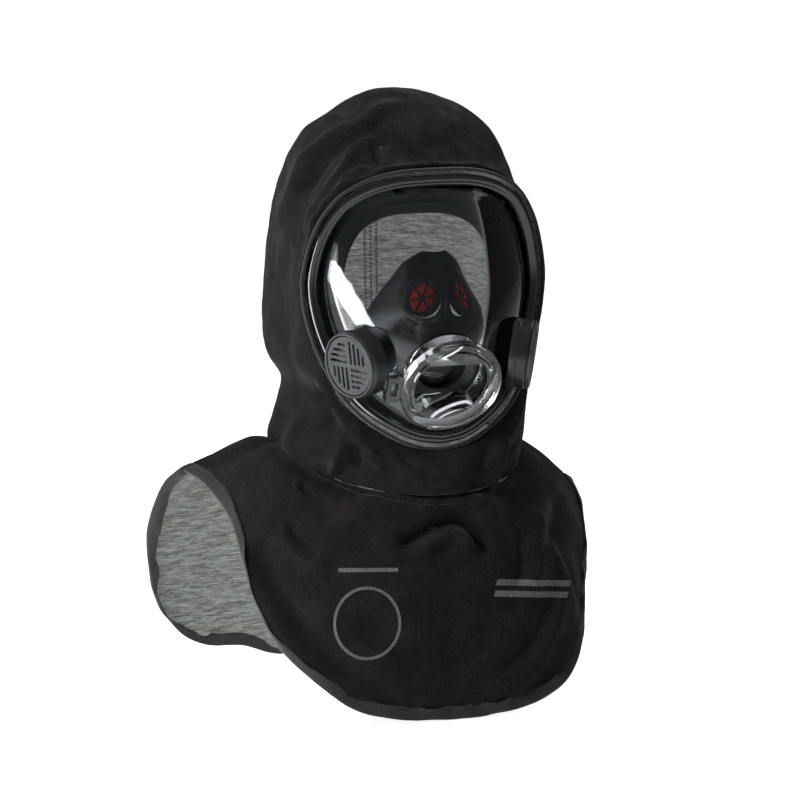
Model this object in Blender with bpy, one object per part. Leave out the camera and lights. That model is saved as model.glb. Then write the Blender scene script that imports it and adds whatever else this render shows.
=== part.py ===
"""Firefighter particulate hood with shoulder bib, worn round a full-face
breathing-apparatus facepiece.

Units are metres, +Z is up, the hood faces -Y and the wearer's left is +X.
The pieces are laid out about the middle of the neck, then both assemblies are
moved so that the origin lies under the middle of the overall width and depth.
The hem bindings stand on Z = 0. Tables marked (mm) are in millimetres.
"""
import math

import bmesh
import bpy
from mathutils import Matrix, Vector

SIDES = (("left", 1), ("right", -1))      # the wearer's sides, as signs of X

# Middle of the overall width and depth; the right shoulder flares the further.
MIDDLE_X = -0.00913
MIDDLE_Y = -0.00149

# ------------------------------------------------------------------ scene
for old in list(bpy.data.objects):
    bpy.data.objects.remove(old, do_unlink=True)
SCENE = bpy.context.scene


def material(name, colour, roughness, metallic=0.0, alpha=1.0):
    mat = bpy.data.materials.new(name)
    mat.use_nodes = True
    shader = mat.node_tree.nodes["Principled BSDF"]
    shader.inputs["Base Color"].default_value = (*colour, 1.0)
    shader.inputs["Roughness"].default_value = roughness
    shader.inputs["Metallic"].default_value = metallic
    shader.inputs["Alpha"].default_value = alpha
    return mat


FLEECE = material("black_fleece", colour=(0.018, 0.018, 0.019), roughness=0.95)
LINING = material("grey_heather_knit", colour=(0.33, 0.34, 0.33), roughness=0.95)
BINDING = material("black_binding_tape", colour=(0.012, 0.012, 0.013), roughness=0.85)
CLEAR = material("clear_polycarbonate", colour=(0.80, 0.84, 0.86), roughness=0.05, alpha=0.35)
BEZEL = material("gloss_black_bezel", colour=(0.015, 0.015, 0.016), roughness=0.22)
RUBBER = material("black_silicone_rubber", colour=(0.020, 0.020, 0.021), roughness=0.55)
PLASTIC = material("black_moulded_plastic", colour=(0.018, 0.018, 0.019), roughness=0.40)
GRILLE = material("grey_moulded_plastic", colour=(0.16, 0.16, 0.165), roughness=0.45)
RED = material("red_valve_silicone", colour=(0.42, 0.02, 0.02), roughness=0.45)
FOIL = material("diaphragm_film", colour=(0.55, 0.55, 0.55), roughness=0.30, metallic=0.6)
STEEL = material("screw_steel", colour=(0.55, 0.55, 0.57), roughness=0.30, metallic=1.0)
STRAP = material("strap_rubber", colour=(0.022, 0.022, 0.024), roughness=0.60)


# ---------------------------------------------------------------- objects
def place(obj, parent, frame):
    """Link an object, put its local frame in the world and parent it there."""
    SCENE.collection.objects.link(obj)
    obj.matrix_world = frame
    if parent is not None:
        obj.parent = parent
        obj.matrix_parent_inverse = parent.matrix_world.inverted()


def new_object(name, bm, mat, parent, frame=None, sharp_angle=40.0):
    """Write a bmesh to an object; edges sharper than sharp_angle degrees stay hard."""
    bmesh.ops.recalc_face_normals(bm, faces=bm.faces[:])
    mesh = bpy.data.meshes.new(name)
    bm.to_mesh(mesh)
    bm.free()
    mesh.materials.append(mat)
    mesh.shade_smooth()
    mesh.set_sharp_from_angle(angle=math.radians(sharp_angle))
    obj = bpy.data.objects.new(name, mesh)
    place(obj, parent, Matrix.Identity(4) if frame is None else frame)
    return obj


def empty(name, at, parent=None):
    obj = bpy.data.objects.new(name, None)
    place(obj, parent, Matrix.Translation(at))
    bpy.context.view_layer.update()       # children read its world matrix
    return obj


def helper(name, bm, parent, frame):
    """Hidden solid for a boolean modifier."""
    obj = new_object(name, bm, PLASTIC, parent, frame)
    obj.hide_render = True
    obj.display_type = 'WIRE'
    return obj


def boolean(obj, tool, name, operation):
    mod = obj.modifiers.new(name, 'BOOLEAN')
    mod.operation = operation
    mod.solver = 'EXACT'
    mod.object = tool


def cut(obj, *tools):
    for tool in tools:
        boolean(obj, tool, "cut_" + tool.name, 'DIFFERENCE')


def axis_frame(centre, normal):
    """Local frame whose +Z is the given normal and whose +Y leans upwards."""
    up = Vector((0, 0, 1))
    z = normal.normalized()
    y = (up - z * up.dot(z)).normalized()
    frame = Matrix((y.cross(z), y, z)).transposed().to_4x4()
    frame.translation = centre
    return frame


def on_side(v, side):
    """Vector given for the wearer's left (side 1), or its mirror (side -1)."""
    return Vector((side * v.x, v.y, v.z))


def side_frame(centre, normal, side):
    return axis_frame(on_side(centre, side), on_side(normal, side))


# ----------------------------------------------------------------- curves
CURVE_STEPS = 600          # fine steps used to measure length along a curve


def mm(*values):
    """Vector in metres from millimetres."""
    return Vector([v / 1000.0 for v in values])


def catmull(points, u):
    """Point at u (0..1) on a Catmull-Rom curve through the points."""
    last = len(points) - 1
    f = u * last
    i = min(int(f), last - 1)
    f -= i
    near = (points[max(i - 1, 0)], points[i], points[i + 1], points[min(i + 2, last)])
    return Vector([0.5 * (2 * b + (c - a) * f + (2 * a - 5 * b + 4 * c - d) * f * f
                          + (3 * b - a - 3 * c + d) * f ** 3)
                   for a, b, c, d in zip(*near)])


def resample(points, count):
    """count + 1 points evenly spaced along the curve through the points."""
    fine = [catmull(points, k / CURVE_STEPS) for k in range(CURVE_STEPS + 1)]
    length = [0.0]
    for p, q in zip(fine, fine[1:]):
        length.append(length[-1] + (q - p).length)
    out = []
    j = 0
    for k in range(count + 1):
        want = length[-1] * k / count
        while j < CURVE_STEPS - 1 and length[j + 1] < want:
            j += 1
        f = (want - length[j]) / (length[j + 1] - length[j])
        out.append(fine[j].lerp(fine[j + 1], f))
    return out


def table(rows, x):
    """Linear reading of a table of (x, value), x ascending, held at the ends."""
    if x <= rows[0][0]:
        return rows[0][1]
    for (x0, v0), (x1, v1) in zip(rows, rows[1:]):
        if x <= x1:
            return v0 + (v1 - v0) * (x - x0) / (x1 - x0)
    return rows[-1][1]


def table_mm(rows, x):
    """Reading in metres, at x in metres, of a table held in millimetres."""
    return table(rows, x * 1000) / 1000


# ----------------------------------------------------------------- solids
def skin(rings, wrap):
    """Closed solid through rings of points; wrap joins the last ring to the first."""
    bm = bmesh.new()
    rings = [[bm.verts.new(p) for p in ring] for ring in rings]
    n = len(rings[0])
    m = len(rings)
    for i in range(m if wrap else m - 1):
        a, b = rings[i], rings[(i + 1) % m]
        for j in range(n):
            k = (j + 1) % n
            bm.faces.new((a[j], a[k], b[k], b[j]))
    if not wrap:
        bm.faces.new(rings[0])
        bm.faces.new(list(reversed(rings[-1])))
    return bm


def grid_normals(grid, wrap, outside=None):
    """Unit normals of a grid of points, turned to agree with outside(point)."""
    m, n = len(grid), len(grid[0])
    out = []
    for i in range(m):
        row = []
        for j in range(n):
            along = grid[min(i + 1, m - 1)][j] - grid[max(i - 1, 0)][j]
            if wrap:
                across = grid[i][(j + 1) % n] - grid[i][(j - 1) % n]
            else:
                across = grid[i][min(j + 1, n - 1)] - grid[i][max(j - 1, 0)]
            normal = along.cross(across).normalized()
            if outside is not None and normal.dot(outside(grid[i][j])) < 0:
                normal = -normal
            row.append(normal)
        out.append(row)
    return out


def sheet(grid, normals, outer, inner, wrap=False):
    """Closed solid between two offsets of a grid along its normals."""
    bm = bmesh.new()
    m, n = len(grid), len(grid[0])
    a, b = [[[bm.verts.new(p + normal * offset) for p, normal in zip(points, row)]
             for points, row in zip(grid, normals)] for offset in (outer, inner)]
    cols = n if wrap else n - 1
    for i in range(m - 1):
        for j in range(cols):
            k = (j + 1) % n
            up = [a[i][j], a[i][k], a[i + 1][k], a[i + 1][j]]
            down = [b[i][j], b[i + 1][j], b[i + 1][k], b[i][k]]
            if wrap and 2 * j >= n:           # mirror the facets of a closed loop
                up = up[1:] + up[:1]
                down = down[1:] + down[:1]
            bm.faces.new(up)
            bm.faces.new(down)
    for j in range(cols):
        k = (j + 1) % n
        bm.faces.new((a[0][k], a[0][j], b[0][j], b[0][k]))
        bm.faces.new((a[-1][j], a[-1][k], b[-1][k], b[-1][j]))
    if not wrap:
        for i in range(m - 1):
            bm.faces.new((a[i][0], a[i + 1][0], b[i + 1][0], b[i][0]))
            bm.faces.new((a[i + 1][-1], a[i][-1], b[i][-1], b[i + 1][-1]))
    return bm


def turned(profile, segments=28):
    """Ring turned about local Z from a closed (radius, height) loop."""
    rings = []
    for k in range(segments):
        a = 2 * math.pi * k / segments
        rings.append([Vector((r * math.cos(a), r * math.sin(a), h)) for r, h in profile])
    return skin(rings, True)


def disc(radius, h0, h1, segments=28):
    """Solid cylinder about local Z between two heights."""
    angles = [2 * math.pi * k / segments for k in range(segments)]
    return skin([[Vector((radius * math.cos(a), radius * math.sin(a), h)) for a in angles]
                 for h in (h0, h1)], False)


def add_box(bm, centre, size):
    bmesh.ops.create_cube(
        bm, size=1.0, matrix=Matrix.Translation(centre) @ Matrix.Diagonal((*size, 1.0)))


def prism(corners, cells, h0, h1):
    """Closed plate from flat cells, each a loop of keys into the corners."""
    bm = bmesh.new()
    low = {key: bm.verts.new((x, y, h0)) for key, (x, y) in corners.items()}
    high = {key: bm.verts.new((x, y, h1)) for key, (x, y) in corners.items()}
    edges = []
    for cell in cells:
        bm.faces.new([high[key] for key in cell])
        bm.faces.new([low[key] for key in reversed(cell)])
        edges += zip(cell, cell[1:] + cell[:1])
    for a, b in edges:
        if (b, a) not in edges:               # an edge of one cell only gets a wall
            bm.faces.new((low[a], low[b], high[b], high[a]))
    return bm


def lattice_plate(xs, ys, open_cells, h0, h1):
    """Plate on a lattice of x and y lines with some of its cells left out."""
    corners = {(i, j): (x, y) for i, x in enumerate(xs) for j, y in enumerate(ys)}
    cells = [[(i, j), (i + 1, j), (i + 1, j + 1), (i, j + 1)]
             for i in range(len(xs) - 1) for j in range(len(ys) - 1)
             if (i, j) not in open_cells]
    return prism(corners, cells, h0, h1)


# ====================================================== facepiece outline
# Outer edge of the bezel, left half, top to bottom: (x, z) (mm).
HALF_OUTLINE = [
    (0, 441), (28, 440), (48, 436), (64, 429), (78, 418), (90, 399), (97, 378), (101, 352),
    (98, 325), (91, 300), (82, 279), (73, 263), (60, 248), (40, 234), (20, 225), (0, 222)]
HALF_WIDTH = [(z, x) for x, z in reversed(HALF_OUTLINE)]
TOP_Z = HALF_OUTLINE[0][1] / 1000
BOTTOM_Z = HALF_OUTLINE[-1][1] / 1000
MID_Z = 0.335
# Depth of the clamped lens edge: (z, y) (mm).
RIM_Y = [(222, -93), (226, -91), (234, -87), (248, -79), (263, -71), (279, -64),
         (300, -58), (325, -53), (352, -51), (378, -53), (399, -57), (418, -63),
         (430, -69), (441, -76)]


def outline(count):
    """Closed outline, clockwise seen from the front, starting at the top.

    Gives (x, z, nx, nz) with the outward normal in the XZ plane."""
    left = resample([mm(x, z) for x, z in HALF_OUTLINE], count // 2)
    points = left + [Vector((-p.x, p.y)) for p in reversed(left[1:-1])]
    out = []
    for k, (x, z) in enumerate(points):
        along = (points[(k + 1) % count] - points[k - 1]).normalized()
        nx, nz = -along.y, along.x
        if nx * x + nz * (z - MID_Z) < 0:
            nx, nz = -nx, -nz
        out.append((x, z, nx, nz))
    return out


def rim_y(z):
    return table_mm(RIM_Y, z)


def section_at(point, nx, nz, section):
    """Section of (outward, rearward) pairs set on a point of the outline."""
    return [point + Vector((nx * outward, rearward, nz * outward))
            for outward, rearward in section]


RING = outline(38)

# ============================================================ hood fabric
FLEECE_T = 0.0020          # outer layer
LINING_T = 0.0008          # knitted lining
PLY_GAP = 0.0007           # clearance between the two layers
CLOTH_T = FLEECE_T + PLY_GAP + LINING_T
OPENING_CLEARANCE = 0.0024  # lining to the bezel's outer edge
OPENING_BACK = 0.002       # cloth edge forward of the rim line

# Loops from the face opening over the crown to the neck (mm):
# top point (y, z), bottom point (y, z), half width.
LOOPS = [
    ((-82, 446), (-96, 217), 104.8),
    ((-52, 474), (-104, 214), 105.5),
    ((-20, 494), (-109, 210), 105.5),
    ((15, 504), (-111, 207), 105.0),
    ((58, 498), (-112, 204), 105.0),
    ((98, 474), (-112, 201), 106.0),
    ((126, 432), (-112, 198), 106.0),
    ((139, 385), (-111, 195), 105.5),
    ((139, 335), (-110, 192), 104.5),
    ((128, 288), (-109, 189), 102.0),
    ((108, 252), (-108, 186), 98.5),
    ((88, 226), (-108, 183), 95.0),
]
HALF_LOOP = 11             # steps along half a loop
FULLNESS = 0.88            # power on the sine: below 1 squares a loop, 1 is an ellipse
SIDE_BOW = 38.0            # sideways points of the first loop moved off its plane (mm)
BOWED_LOOPS = 6

# Share of each of the first loops taken from its full shape, not the opening's.
OPENING_BLEND = (0.0, 0.45, 0.85)
# Both tables run over the cosine of the loop angle: -1 bottom, 1 top.
# Rearward step per loop off the opening, negative is forward (mm).
REARWARD = [(-1.0, -5.5), (-0.8, -3.5), (-0.5, 1.0), (-0.2, 7.0), (0.2, 13.0),
            (0.6, 14.0), (1.0, 14.0)]
# How far the first loops are evened out between the opening and EVEN_LOOP.
EVENNESS = [(-1.0, 0.0), (-0.96, 0.25), (-0.84, 0.7), (-0.65, 1.0), (-0.42, 1.0),
            (-0.14, 0.85), (0.14, 0.35), (0.42, 0.0), (1.0, 0.0)]
EVEN_LOOP = 5

# Section of the opening band: (outward, rearward) from the cloth edge.
BAND_SECTION = [(-0.0029, -0.0006), (-0.0009, -0.0006), (-0.0004, -0.0014),
                (-0.0004, -0.0040), (-0.0012, -0.0052), (-0.0022, -0.0052),
                (-0.0029, -0.0042)]


def loop_point(i, t):
    """Point on loop i; t = 0 at the top, pi at the bottom, +X for 0 < t < pi."""
    (top_y, top_z), (bottom_y, bottom_z), width = LOOPS[i]
    c, s = math.cos(t), math.sin(t)
    f = 0.5 + 0.5 * c
    y = bottom_y + (top_y - bottom_y) * f
    z = bottom_z + (top_z - bottom_z) * f
    # the last three loops turn step by step into an ellipse
    power = FULLNESS + (1 - FULLNESS) * max(0, i - len(LOOPS) + 4) / 3
    x = width * math.copysign(abs(s) ** power, s)
    ny, nz = top_z - bottom_z, bottom_y - top_y
    length = math.hypot(ny, nz)
    bow = SIDE_BOW * max(0.0, 1 - i / BOWED_LOOPS) ** 1.5 * s * s
    return mm(x, y + bow * ny / length, z + bow * nz / length)


def hood_grid():
    """Whole closed loops, led into the outline of the face opening."""
    ring = outline(2 * HALF_LOOP)
    angles = [math.pi * j / HALF_LOOP for j in range(2 * HALF_LOOP)]
    grid = [[loop_point(i, t) for t in angles] for i in range(len(LOOPS))]
    off = OPENING_CLEARANCE + CLOTH_T
    for j, (x, z, nx, nz) in enumerate(ring):
        height = math.cos(angles[j])
        step = table(REARWARD, height) / 1000
        for i, blend in enumerate(OPENING_BLEND):
            y = rim_y(z) - OPENING_BACK + step * i
            opening = Vector((x + nx * off, y, z + nz * off))
            grid[i][j] = opening.lerp(grid[i][j], blend)
        evenness = table(EVENNESS, height)
        for i in range(1, EVEN_LOOP):
            even = grid[0][j].lerp(grid[EVEN_LOOP][j], i / EVEN_LOOP)
            grid[i][j] = grid[i][j].lerp(even, evenness)
    return grid


def hood_normals(grid):
    # the loops are ordered so that the raw normals point inwards
    normals = [[-v for v in row] for row in grid_normals(grid, True)]
    for row in normals:                       # no sideways lean on the centre line
        for j in (0, HALF_LOOP):
            row[j].x = 0.0
            row[j].normalize()
    return normals


def cloth(stem, grid, normals, parent, wrap=False):
    """Fleece outer layer and knitted lining of one panel."""
    new_object(stem + "_panel", sheet(grid, normals, 0.0, -FLEECE_T, wrap), FLEECE, parent)
    new_object(stem + "_lining", sheet(grid, normals, -FLEECE_T - PLY_GAP, -CLOTH_T, wrap),
               LINING, parent)


def opening_band(edge, parent):
    """Elastic band round the face opening, in front of the cloth edge."""
    rings = [section_at(point, nx, nz, BAND_SECTION)
             for point, (_, _, nx, nz) in zip(edge, outline(2 * HALF_LOOP))]
    new_object("face_opening_band", skin(rings, True), BINDING, parent)


# ==================================================================== bib
# Free edges from the shoulder to the middle of the hem: (x, y, z) (mm).
# The wearer's left shoulder (+X) hangs lower than the right.
FRONT_RIGHT = [(-182, 20, 190), (-171, 0, 183), (-163, -32, 166), (-161, -58, 145),
               (-159, -75, 113), (-148, -92, 73), (-132, -106, 45), (-110, -121, 19),
               (-84, -129, 5), (-60, -133, 0.0), (-30, -135.5, 0.0), (0, -136, 0.0)]
FRONT_LEFT = [(158, 16, 160), (153, -20, 148), (148, -38, 135), (142, -60, 114),
              (133, -79, 90), (127, -93, 66), (120, -106, 42), (107, -118, 18),
              (88, -126, 6), (62, -132, 0.0), (30, -135.5, 0.0), (0, -136, 0.0)]
BACK_RIGHT = [(-182, 20, 190), (-190, 44, 173), (-193, 65, 149), (-192, 86, 121),
              (-187, 98, 95), (-172, 111, 61), (-146, 122, 35), (-120, 130, 20),
              (-96, 134, 14), (-68, 136, 4.5), (-40, 136.5, 0.0), (0, 137, 0.0)]
BACK_LEFT = [(158, 16, 160), (169, 40, 150), (175, 62, 134), (175, 84, 108),
             (170, 98, 80), (156, 111, 52), (137, 121, 32), (114, 129, 15),
             (90, 134, 4.5), (66, 135.5, 0.0), (36, 136.5, 0.0), (0, 137, 0.0)]

BIB_COLUMNS = 9            # steps from a shoulder to the middle
BIB_ROWS = 5               # steps from the neck to the free edge
SHOULDER_ANGLE = math.radians(90)         # on the neck loop
NECK_DROP = mm(0, 0, -1.4)                # bib's top edge below the last hood loop
SHOULDER_NORMAL = Vector((0.0, -0.10, 1.0)).normalized()
SHOULDER_GAP = 0.0006      # each panel stands off the shoulder line
# Outward swell between neck and hem, over the share of the way to the shoulder (mm).
SWELL = [(0, 4.0), (0.45, 15.0), (0.8, 12.0), (1.0, 3.0)]

STRAIGHT_HALF = 0.0765     # the hem is level within this half width
LEVEL_LIMIT = 0.004        # and where it is lower than this
HEM_LIFT = 0.0032          # cloth edge above the underside of the binding
BIND_W = 0.0085            # binding width on the cloth
FLAT_STRIP = BIND_W + 0.004               # flat cloth along the free edge

BIND_T = 0.0009            # the tape stands this far off both faces of the cloth
BIND_CORNER = 0.0008       # chamfer of the outer edge
# Section of the binding: (beyond the cloth edge, along the cloth normal).
BINDING_SECTION = [
    (0.0004, BIND_T), (HEM_LIFT - BIND_CORNER, BIND_T), (HEM_LIFT, 0.0001),
    (HEM_LIFT, -CLOTH_T - 0.0001), (HEM_LIFT - BIND_CORNER, -CLOTH_T - BIND_T),
    (0.0004, -CLOTH_T - BIND_T)]
SIDE_SHIFT = 0.0052        # binding moved out, growing from half way to the shoulder
END_SHIFT = 0.0045         # the same at its two ends


def near_level_hem(point, limit):
    return abs(point.x) < STRAIGHT_HALF and point.z < limit


def bib_column(start, end, from_middle):
    """Points from neck to free edge, and the direction in which the cloth ends."""
    swell = table(SWELL, from_middle) / 1000
    if from_middle == 1:
        out = SHOULDER_NORMAL
    else:
        rise = 0.10 if from_middle < 0.5 else 0.12 + 0.2 * from_middle
        out = Vector((end.x * 0.8, end.y * 1.2, rise)).normalized()
    column = []
    for r in range(BIB_ROWS + 1):
        s = r / BIB_ROWS
        column.append(start.lerp(end, s) + out * (swell * 4 * s * (1 - s)))
    direction = (column[-1] - column[-2]).normalized()
    if near_level_hem(column[-1], HEM_LIFT + 0.0005):
        direction = Vector((0, 0, -1))
    column[-2] = column[-1] - direction * FLAT_STRIP
    return column, direction


def bib_grid(right, left, front):
    """Grid, normals and edge directions of one bib panel.

    Columns run from the right shoulder round to the left one. Row 0 is the
    neck seam and the last row the free edge."""
    edge = resample([mm(*p) for p in right], BIB_COLUMNS)
    edge += reversed(resample([mm(*p) for p in left], BIB_COLUMNS)[:-1])
    last = len(edge) - 1
    columns, directions = [], []
    for k, end in enumerate(edge):
        across = 2 * k / last - 1             # -1 right shoulder, 1 left shoulder
        angle = SHOULDER_ANGLE * across
        if front:
            angle = math.pi - angle
        start = loop_point(len(LOOPS) - 1, angle) + NECK_DROP
        if near_level_hem(end, LEVEL_LIMIT):
            end.z = 0.0
        end.z += HEM_LIFT
        column, direction = bib_column(start, end, abs(across))
        columns.append(column)
        directions.append(direction)
    grid = [list(row) for row in zip(*columns)]
    normals = grid_normals(
        grid, False, lambda p: Vector((p.x * 0.6, p.y, 0.06 + max(0, p.z - 0.15))))
    # the strip along the free edge is flat, so that the tape follows it
    for k, direction in enumerate(directions):
        flat = normals[-1][k]
        if direction.z < -0.999:
            flat = Vector((flat.x, flat.y, 0.0))
        flat = (flat - direction * flat.dot(direction)).normalized()
        normals[-1][k] = normals[-2][k] = flat
    gap = Vector((0, -SHOULDER_GAP if front else SHOULDER_GAP, 0))
    for points, row in zip(grid, normals):
        for k in (0, last):
            row[k] = SHOULDER_NORMAL
            points[k] = points[k] + gap
    return grid, normals, directions


def hem_binding(name, edge, normals, directions, parent):
    """Rolled tape along the free edge, cut square close to the shoulder seams."""
    def ring(point, direction, normal, shift):
        return [point + direction * (beyond + shift) + normal * rise
                for beyond, rise in BINDING_SECTION]

    def end_ring(k, inward):
        direction = directions[k].lerp(directions[inward], 0.80).normalized()
        normal = normals[k].lerp(normals[inward], 0.80)
        normal = (normal - direction * normal.dot(direction)).normalized()
        return ring(edge[k].lerp(edge[inward], 0.30), direction, normal, END_SHIFT)

    last = len(directions) - 1
    rings = [end_ring(0, 1)]
    for k in range(1, last):
        shift = SIDE_SHIFT * max(0.0, (abs(2 * k / last - 1) - 0.5) / 0.5)
        rings.append(ring(edge[k], directions[k], normals[k], shift))
    rings.append(end_ring(last, last - 1))
    new_object(name, skin(rings, False), BINDING, parent)


def build_hood(hood):
    grid = hood_grid()
    cloth("hood", grid, hood_normals(grid), hood, wrap=True)
    opening_band(grid[0], hood)
    for word, right, left in (("front", FRONT_RIGHT, FRONT_LEFT),
                              ("back", BACK_RIGHT, BACK_LEFT)):
        grid, normals, directions = bib_grid(right, left, word == "front")
        cloth("bib_" + word, grid, normals, hood)
        hem_binding(word + "_hem_binding", grid[-1], normals[-1], directions, hood)


# ================================================= lens, bezel, face seal
# Front of the lens on the centre line: (z, y) (mm).
LENS_Y = [(218, -86), (232, -92), (250, -101), (272, -112), (290, -118), (310, -119),
          (340, -115), (370, -107), (400, -97), (432, -84), (445, -77)]
LENS_T = 0.0024
LENS_AXIS_Y = -0.033       # centre of the ellipses across the lens
LENS_MAX_HALF = 0.104      # largest half axis of those ellipses
LENS_SCALES = (0.22, 0.48, 0.72, 0.89, 1.0)   # rings of the dome, as shares of its edge
DOME_INSET = 0.0102        # dome edge inside the outline
BROW_INSET = 0.0116        # the same from BROW_Z up
BROW_Z = 0.42
FLANGE_INNER = 0.0086      # flat edge flange, inside the outline
FLANGE_OUTER = 0.0040

BEZEL_W = 0.0090           # width of the bezel across its face
BEZEL_FRONT = 0.0075       # bezel in front of the lens edge
BEZEL_BACK = 0.0073        # bezel behind the lens edge
SPLIT_Z = 0.2785           # the bezel halves meet at the ring point nearest this
# Channel section: (outward, rearward) from the outline.
BEZEL_SECTION = [
    (-BEZEL_W, -0.0060), (-0.0076, -BEZEL_FRONT), (-0.0016, -BEZEL_FRONT), (0.0, -0.0060),
    (0.0, 0.0060), (-0.0010, BEZEL_BACK), (-0.0070, BEZEL_BACK), (-0.0070, 0.0056),
    (-0.0034, 0.0056), (-0.0034, -0.0016), (-BEZEL_W, -0.0016)]
HALF_GAP = 0.45            # share of the last ring step left open at each end

SEAL_T = 0.0024
SEAL_Y = 0.0029            # seal's clamped edge behind the rim line
SEAL_INNER = 0.0088        # inner side of that edge, inside the outline
LIP_SCALE_X = 0.665        # inner lip's width as a share of the outline's
LIP_TOP_Z = 0.405
LIP_BOTTOM_Z = 0.250
LIP_Y = -0.047
LIP_RETREAT = 0.006        # lip further back at its top and bottom
SEAL_SAG = 0.004           # middle of the skirt behind a straight line

# Screws and nuts at the sides of the bezel: (radius, height).
SCREW_INSET = 0.0012
SCREW_PROFILE = [(0.0003, 0.0052), (0.0003, -0.0062), (0.0008, -0.0062), (0.0008, 0.0028),
                 (0.0013, 0.0028), (0.0013, 0.0046), (0.0010, 0.0052)]
NUT_PROFILE = [(0.0013, -0.0058), (0.0013, -0.0036), (0.00105, -0.0036), (0.00105, -0.0058)]


def ring_at(inset, rearward):
    """The outline moved inwards and behind the rim line."""
    return [Vector((x - nx * inset, rim_y(z) + rearward, z - nz * inset))
            for x, z, nx, nz in RING]


def lens_y(x, z):
    """Front of the lens: elliptic across, meeting the rim near the bezel."""
    half = max(table_mm(HALF_WIDTH, z) - 0.0095, 0.030)
    depth = table_mm(LENS_Y, z) - LENS_AXIS_Y
    rim_share = min((rim_y(z) - LENS_AXIS_Y) / depth, 0.93)
    axis = min(half / math.sqrt(1 - rim_share * rim_share), LENS_MAX_HALF)
    return LENS_AXIS_Y + depth * math.sqrt(max(1 - (x / axis) ** 2, 0.02))


def lens_rings():
    """Front rings of the lens and their normals, from the middle outwards."""
    rings = []
    for scale in LENS_SCALES:
        ring = []
        for x, z, nx, nz in RING:
            inset = DOME_INSET if z < BROW_Z else BROW_INSET
            px = (x - nx * inset) * scale
            pz = MID_Z + (z - nz * inset - MID_Z) * scale
            ring.append(Vector((px, lens_y(px, pz), pz)))
        rings.append(ring)
    for point, (_, z, _, _) in zip(rings[-1], RING):
        point.y = min(point.y, rim_y(z) - 0.0015)     # stay in front of the flange
    rings += [ring_at(FLANGE_INNER, 0.0), ring_at(FLANGE_OUTER, 0.0)]
    normals = grid_normals(
        rings, True, lambda p: Vector((p.x * 1.2, -0.08, (p.z - 0.33) * 0.4)))
    for k, (_, _, nx, nz) in enumerate(RING):
        normals[-1][k] = normals[-2][k] = Vector((0, -1, 0))
        lean = Vector((nx, 0, nz)) * 0.6 + Vector((0, -0.4, 0))
        normals[-3][k] = (normals[-3][k] + lean).normalized()
    return rings, normals


def visor_lens(parent, tools):
    """Domed shell with a flat edge flange clamped in the bezel."""
    rings, normals = lens_rings()
    bm = bmesh.new()
    front = [[bm.verts.new(p) for p in ring] for ring in rings]
    back = [[bm.verts.new(p - normal * LENS_T) for p, normal in zip(ring, row)]
            for ring, row in zip(rings, normals)]
    n = len(RING)
    for i in range(len(rings) - 1):
        for j in range(n):
            k = (j + 1) % n
            bm.faces.new((front[i][j], front[i][k], front[i + 1][k], front[i + 1][j]))
            bm.faces.new((back[i][j], back[i + 1][j], back[i + 1][k], back[i][k]))
    for j in range(n):
        k = (j + 1) % n
        bm.faces.new((front[-1][k], front[-1][j], back[-1][j], back[-1][k]))
    for side, rearward in ((front, 0.0), (back, LENS_T)):
        middle = bm.verts.new((0, lens_y(0, MID_Z) + rearward, MID_Z))
        for j in range(n):
            bm.faces.new((side[0][j], side[0][(j + 1) % n], middle))
    cut(new_object("visor_lens", bm, CLEAR, parent), *tools)


def bezel_half(name, first, last, parent, tools):
    """Channel section swept along the ring points first to last."""
    rings = []
    for k in range(first, last + 1):
        x, z, nx, nz = RING[k % len(RING)]
        rings.append(section_at(Vector((x, rim_y(z), z)), nx, nz, BEZEL_SECTION))
    for end, inward in ((0, 1), (-1, -2)):    # the halves stop short of each other
        rings[end] = [p.lerp(q, HALF_GAP) for p, q in zip(rings[end], rings[inward])]
    cut(new_object(name, skin(rings, False), BEZEL, parent), *tools)


def bezel_screws(split, parent):
    """Screw and nut where the bezel halves meet, on both sides."""
    x, z, nx, nz = RING[split]
    centre = Vector((x - nx * SCREW_INSET, rim_y(z), z - nz * SCREW_INSET))
    for word, side in SIDES:
        frame = Matrix.Translation(on_side(centre, side))
        new_object("bezel_screw_" + word, turned(SCREW_PROFILE, 14), STEEL, parent, frame)
        new_object("bezel_nut_" + word, turned(NUT_PROFILE, 6), STEEL, parent, frame,
                   sharp_angle=20)


def face_seal(parent):
    """Rubber skirt from the bezel channel to the edge that meets the face."""
    clamped = [ring_at(FLANGE_OUTER, SEAL_Y), ring_at(SEAL_INNER, SEAL_Y)]
    lip = []
    for x, z, _, _ in RING:
        edge_z, lip_z = (TOP_Z, LIP_TOP_Z) if z > MID_Z else (BOTTOM_Z, LIP_BOTTOM_Z)
        f = (z - MID_Z) / (edge_z - MID_Z)
        lip.append(Vector((x * LIP_SCALE_X, LIP_Y + LIP_RETREAT * f,
                           MID_Z + f * (lip_z - MID_Z))))
    middle = [p.lerp(q, 0.5) + Vector((0, SEAL_SAG, 0)) for p, q in zip(clamped[1], lip)]
    rings = clamped + [middle, lip]
    normals = grid_normals(rings, True, lambda p: Vector((-p.x * 0.05, -1.0, 0)))
    for k in range(len(RING)):
        normals[0][k] = normals[1][k] = Vector((0, -1, 0))
    new_object("face_seal", sheet(rings, normals, 0.0, -SEAL_T, True), RUBBER, parent)


# ========================================================= regulator port
# Local +Z of the port frame points forward, so depth behind the front is -Z.
PORT_C = Vector((0.0, -0.123, 0.272))     # front centre of the port
PORT = axis_frame(PORT_C, Vector((0.0, -0.891, -0.454)))
PORT_R = 0.0430
PORT_BORE_R = 0.0318
PORT_BARREL_R = 0.0358
PORT_FLAT = 0.0220         # half height between the flattened top and bottom of the bore
PORT_SEGMENTS = 36
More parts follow.
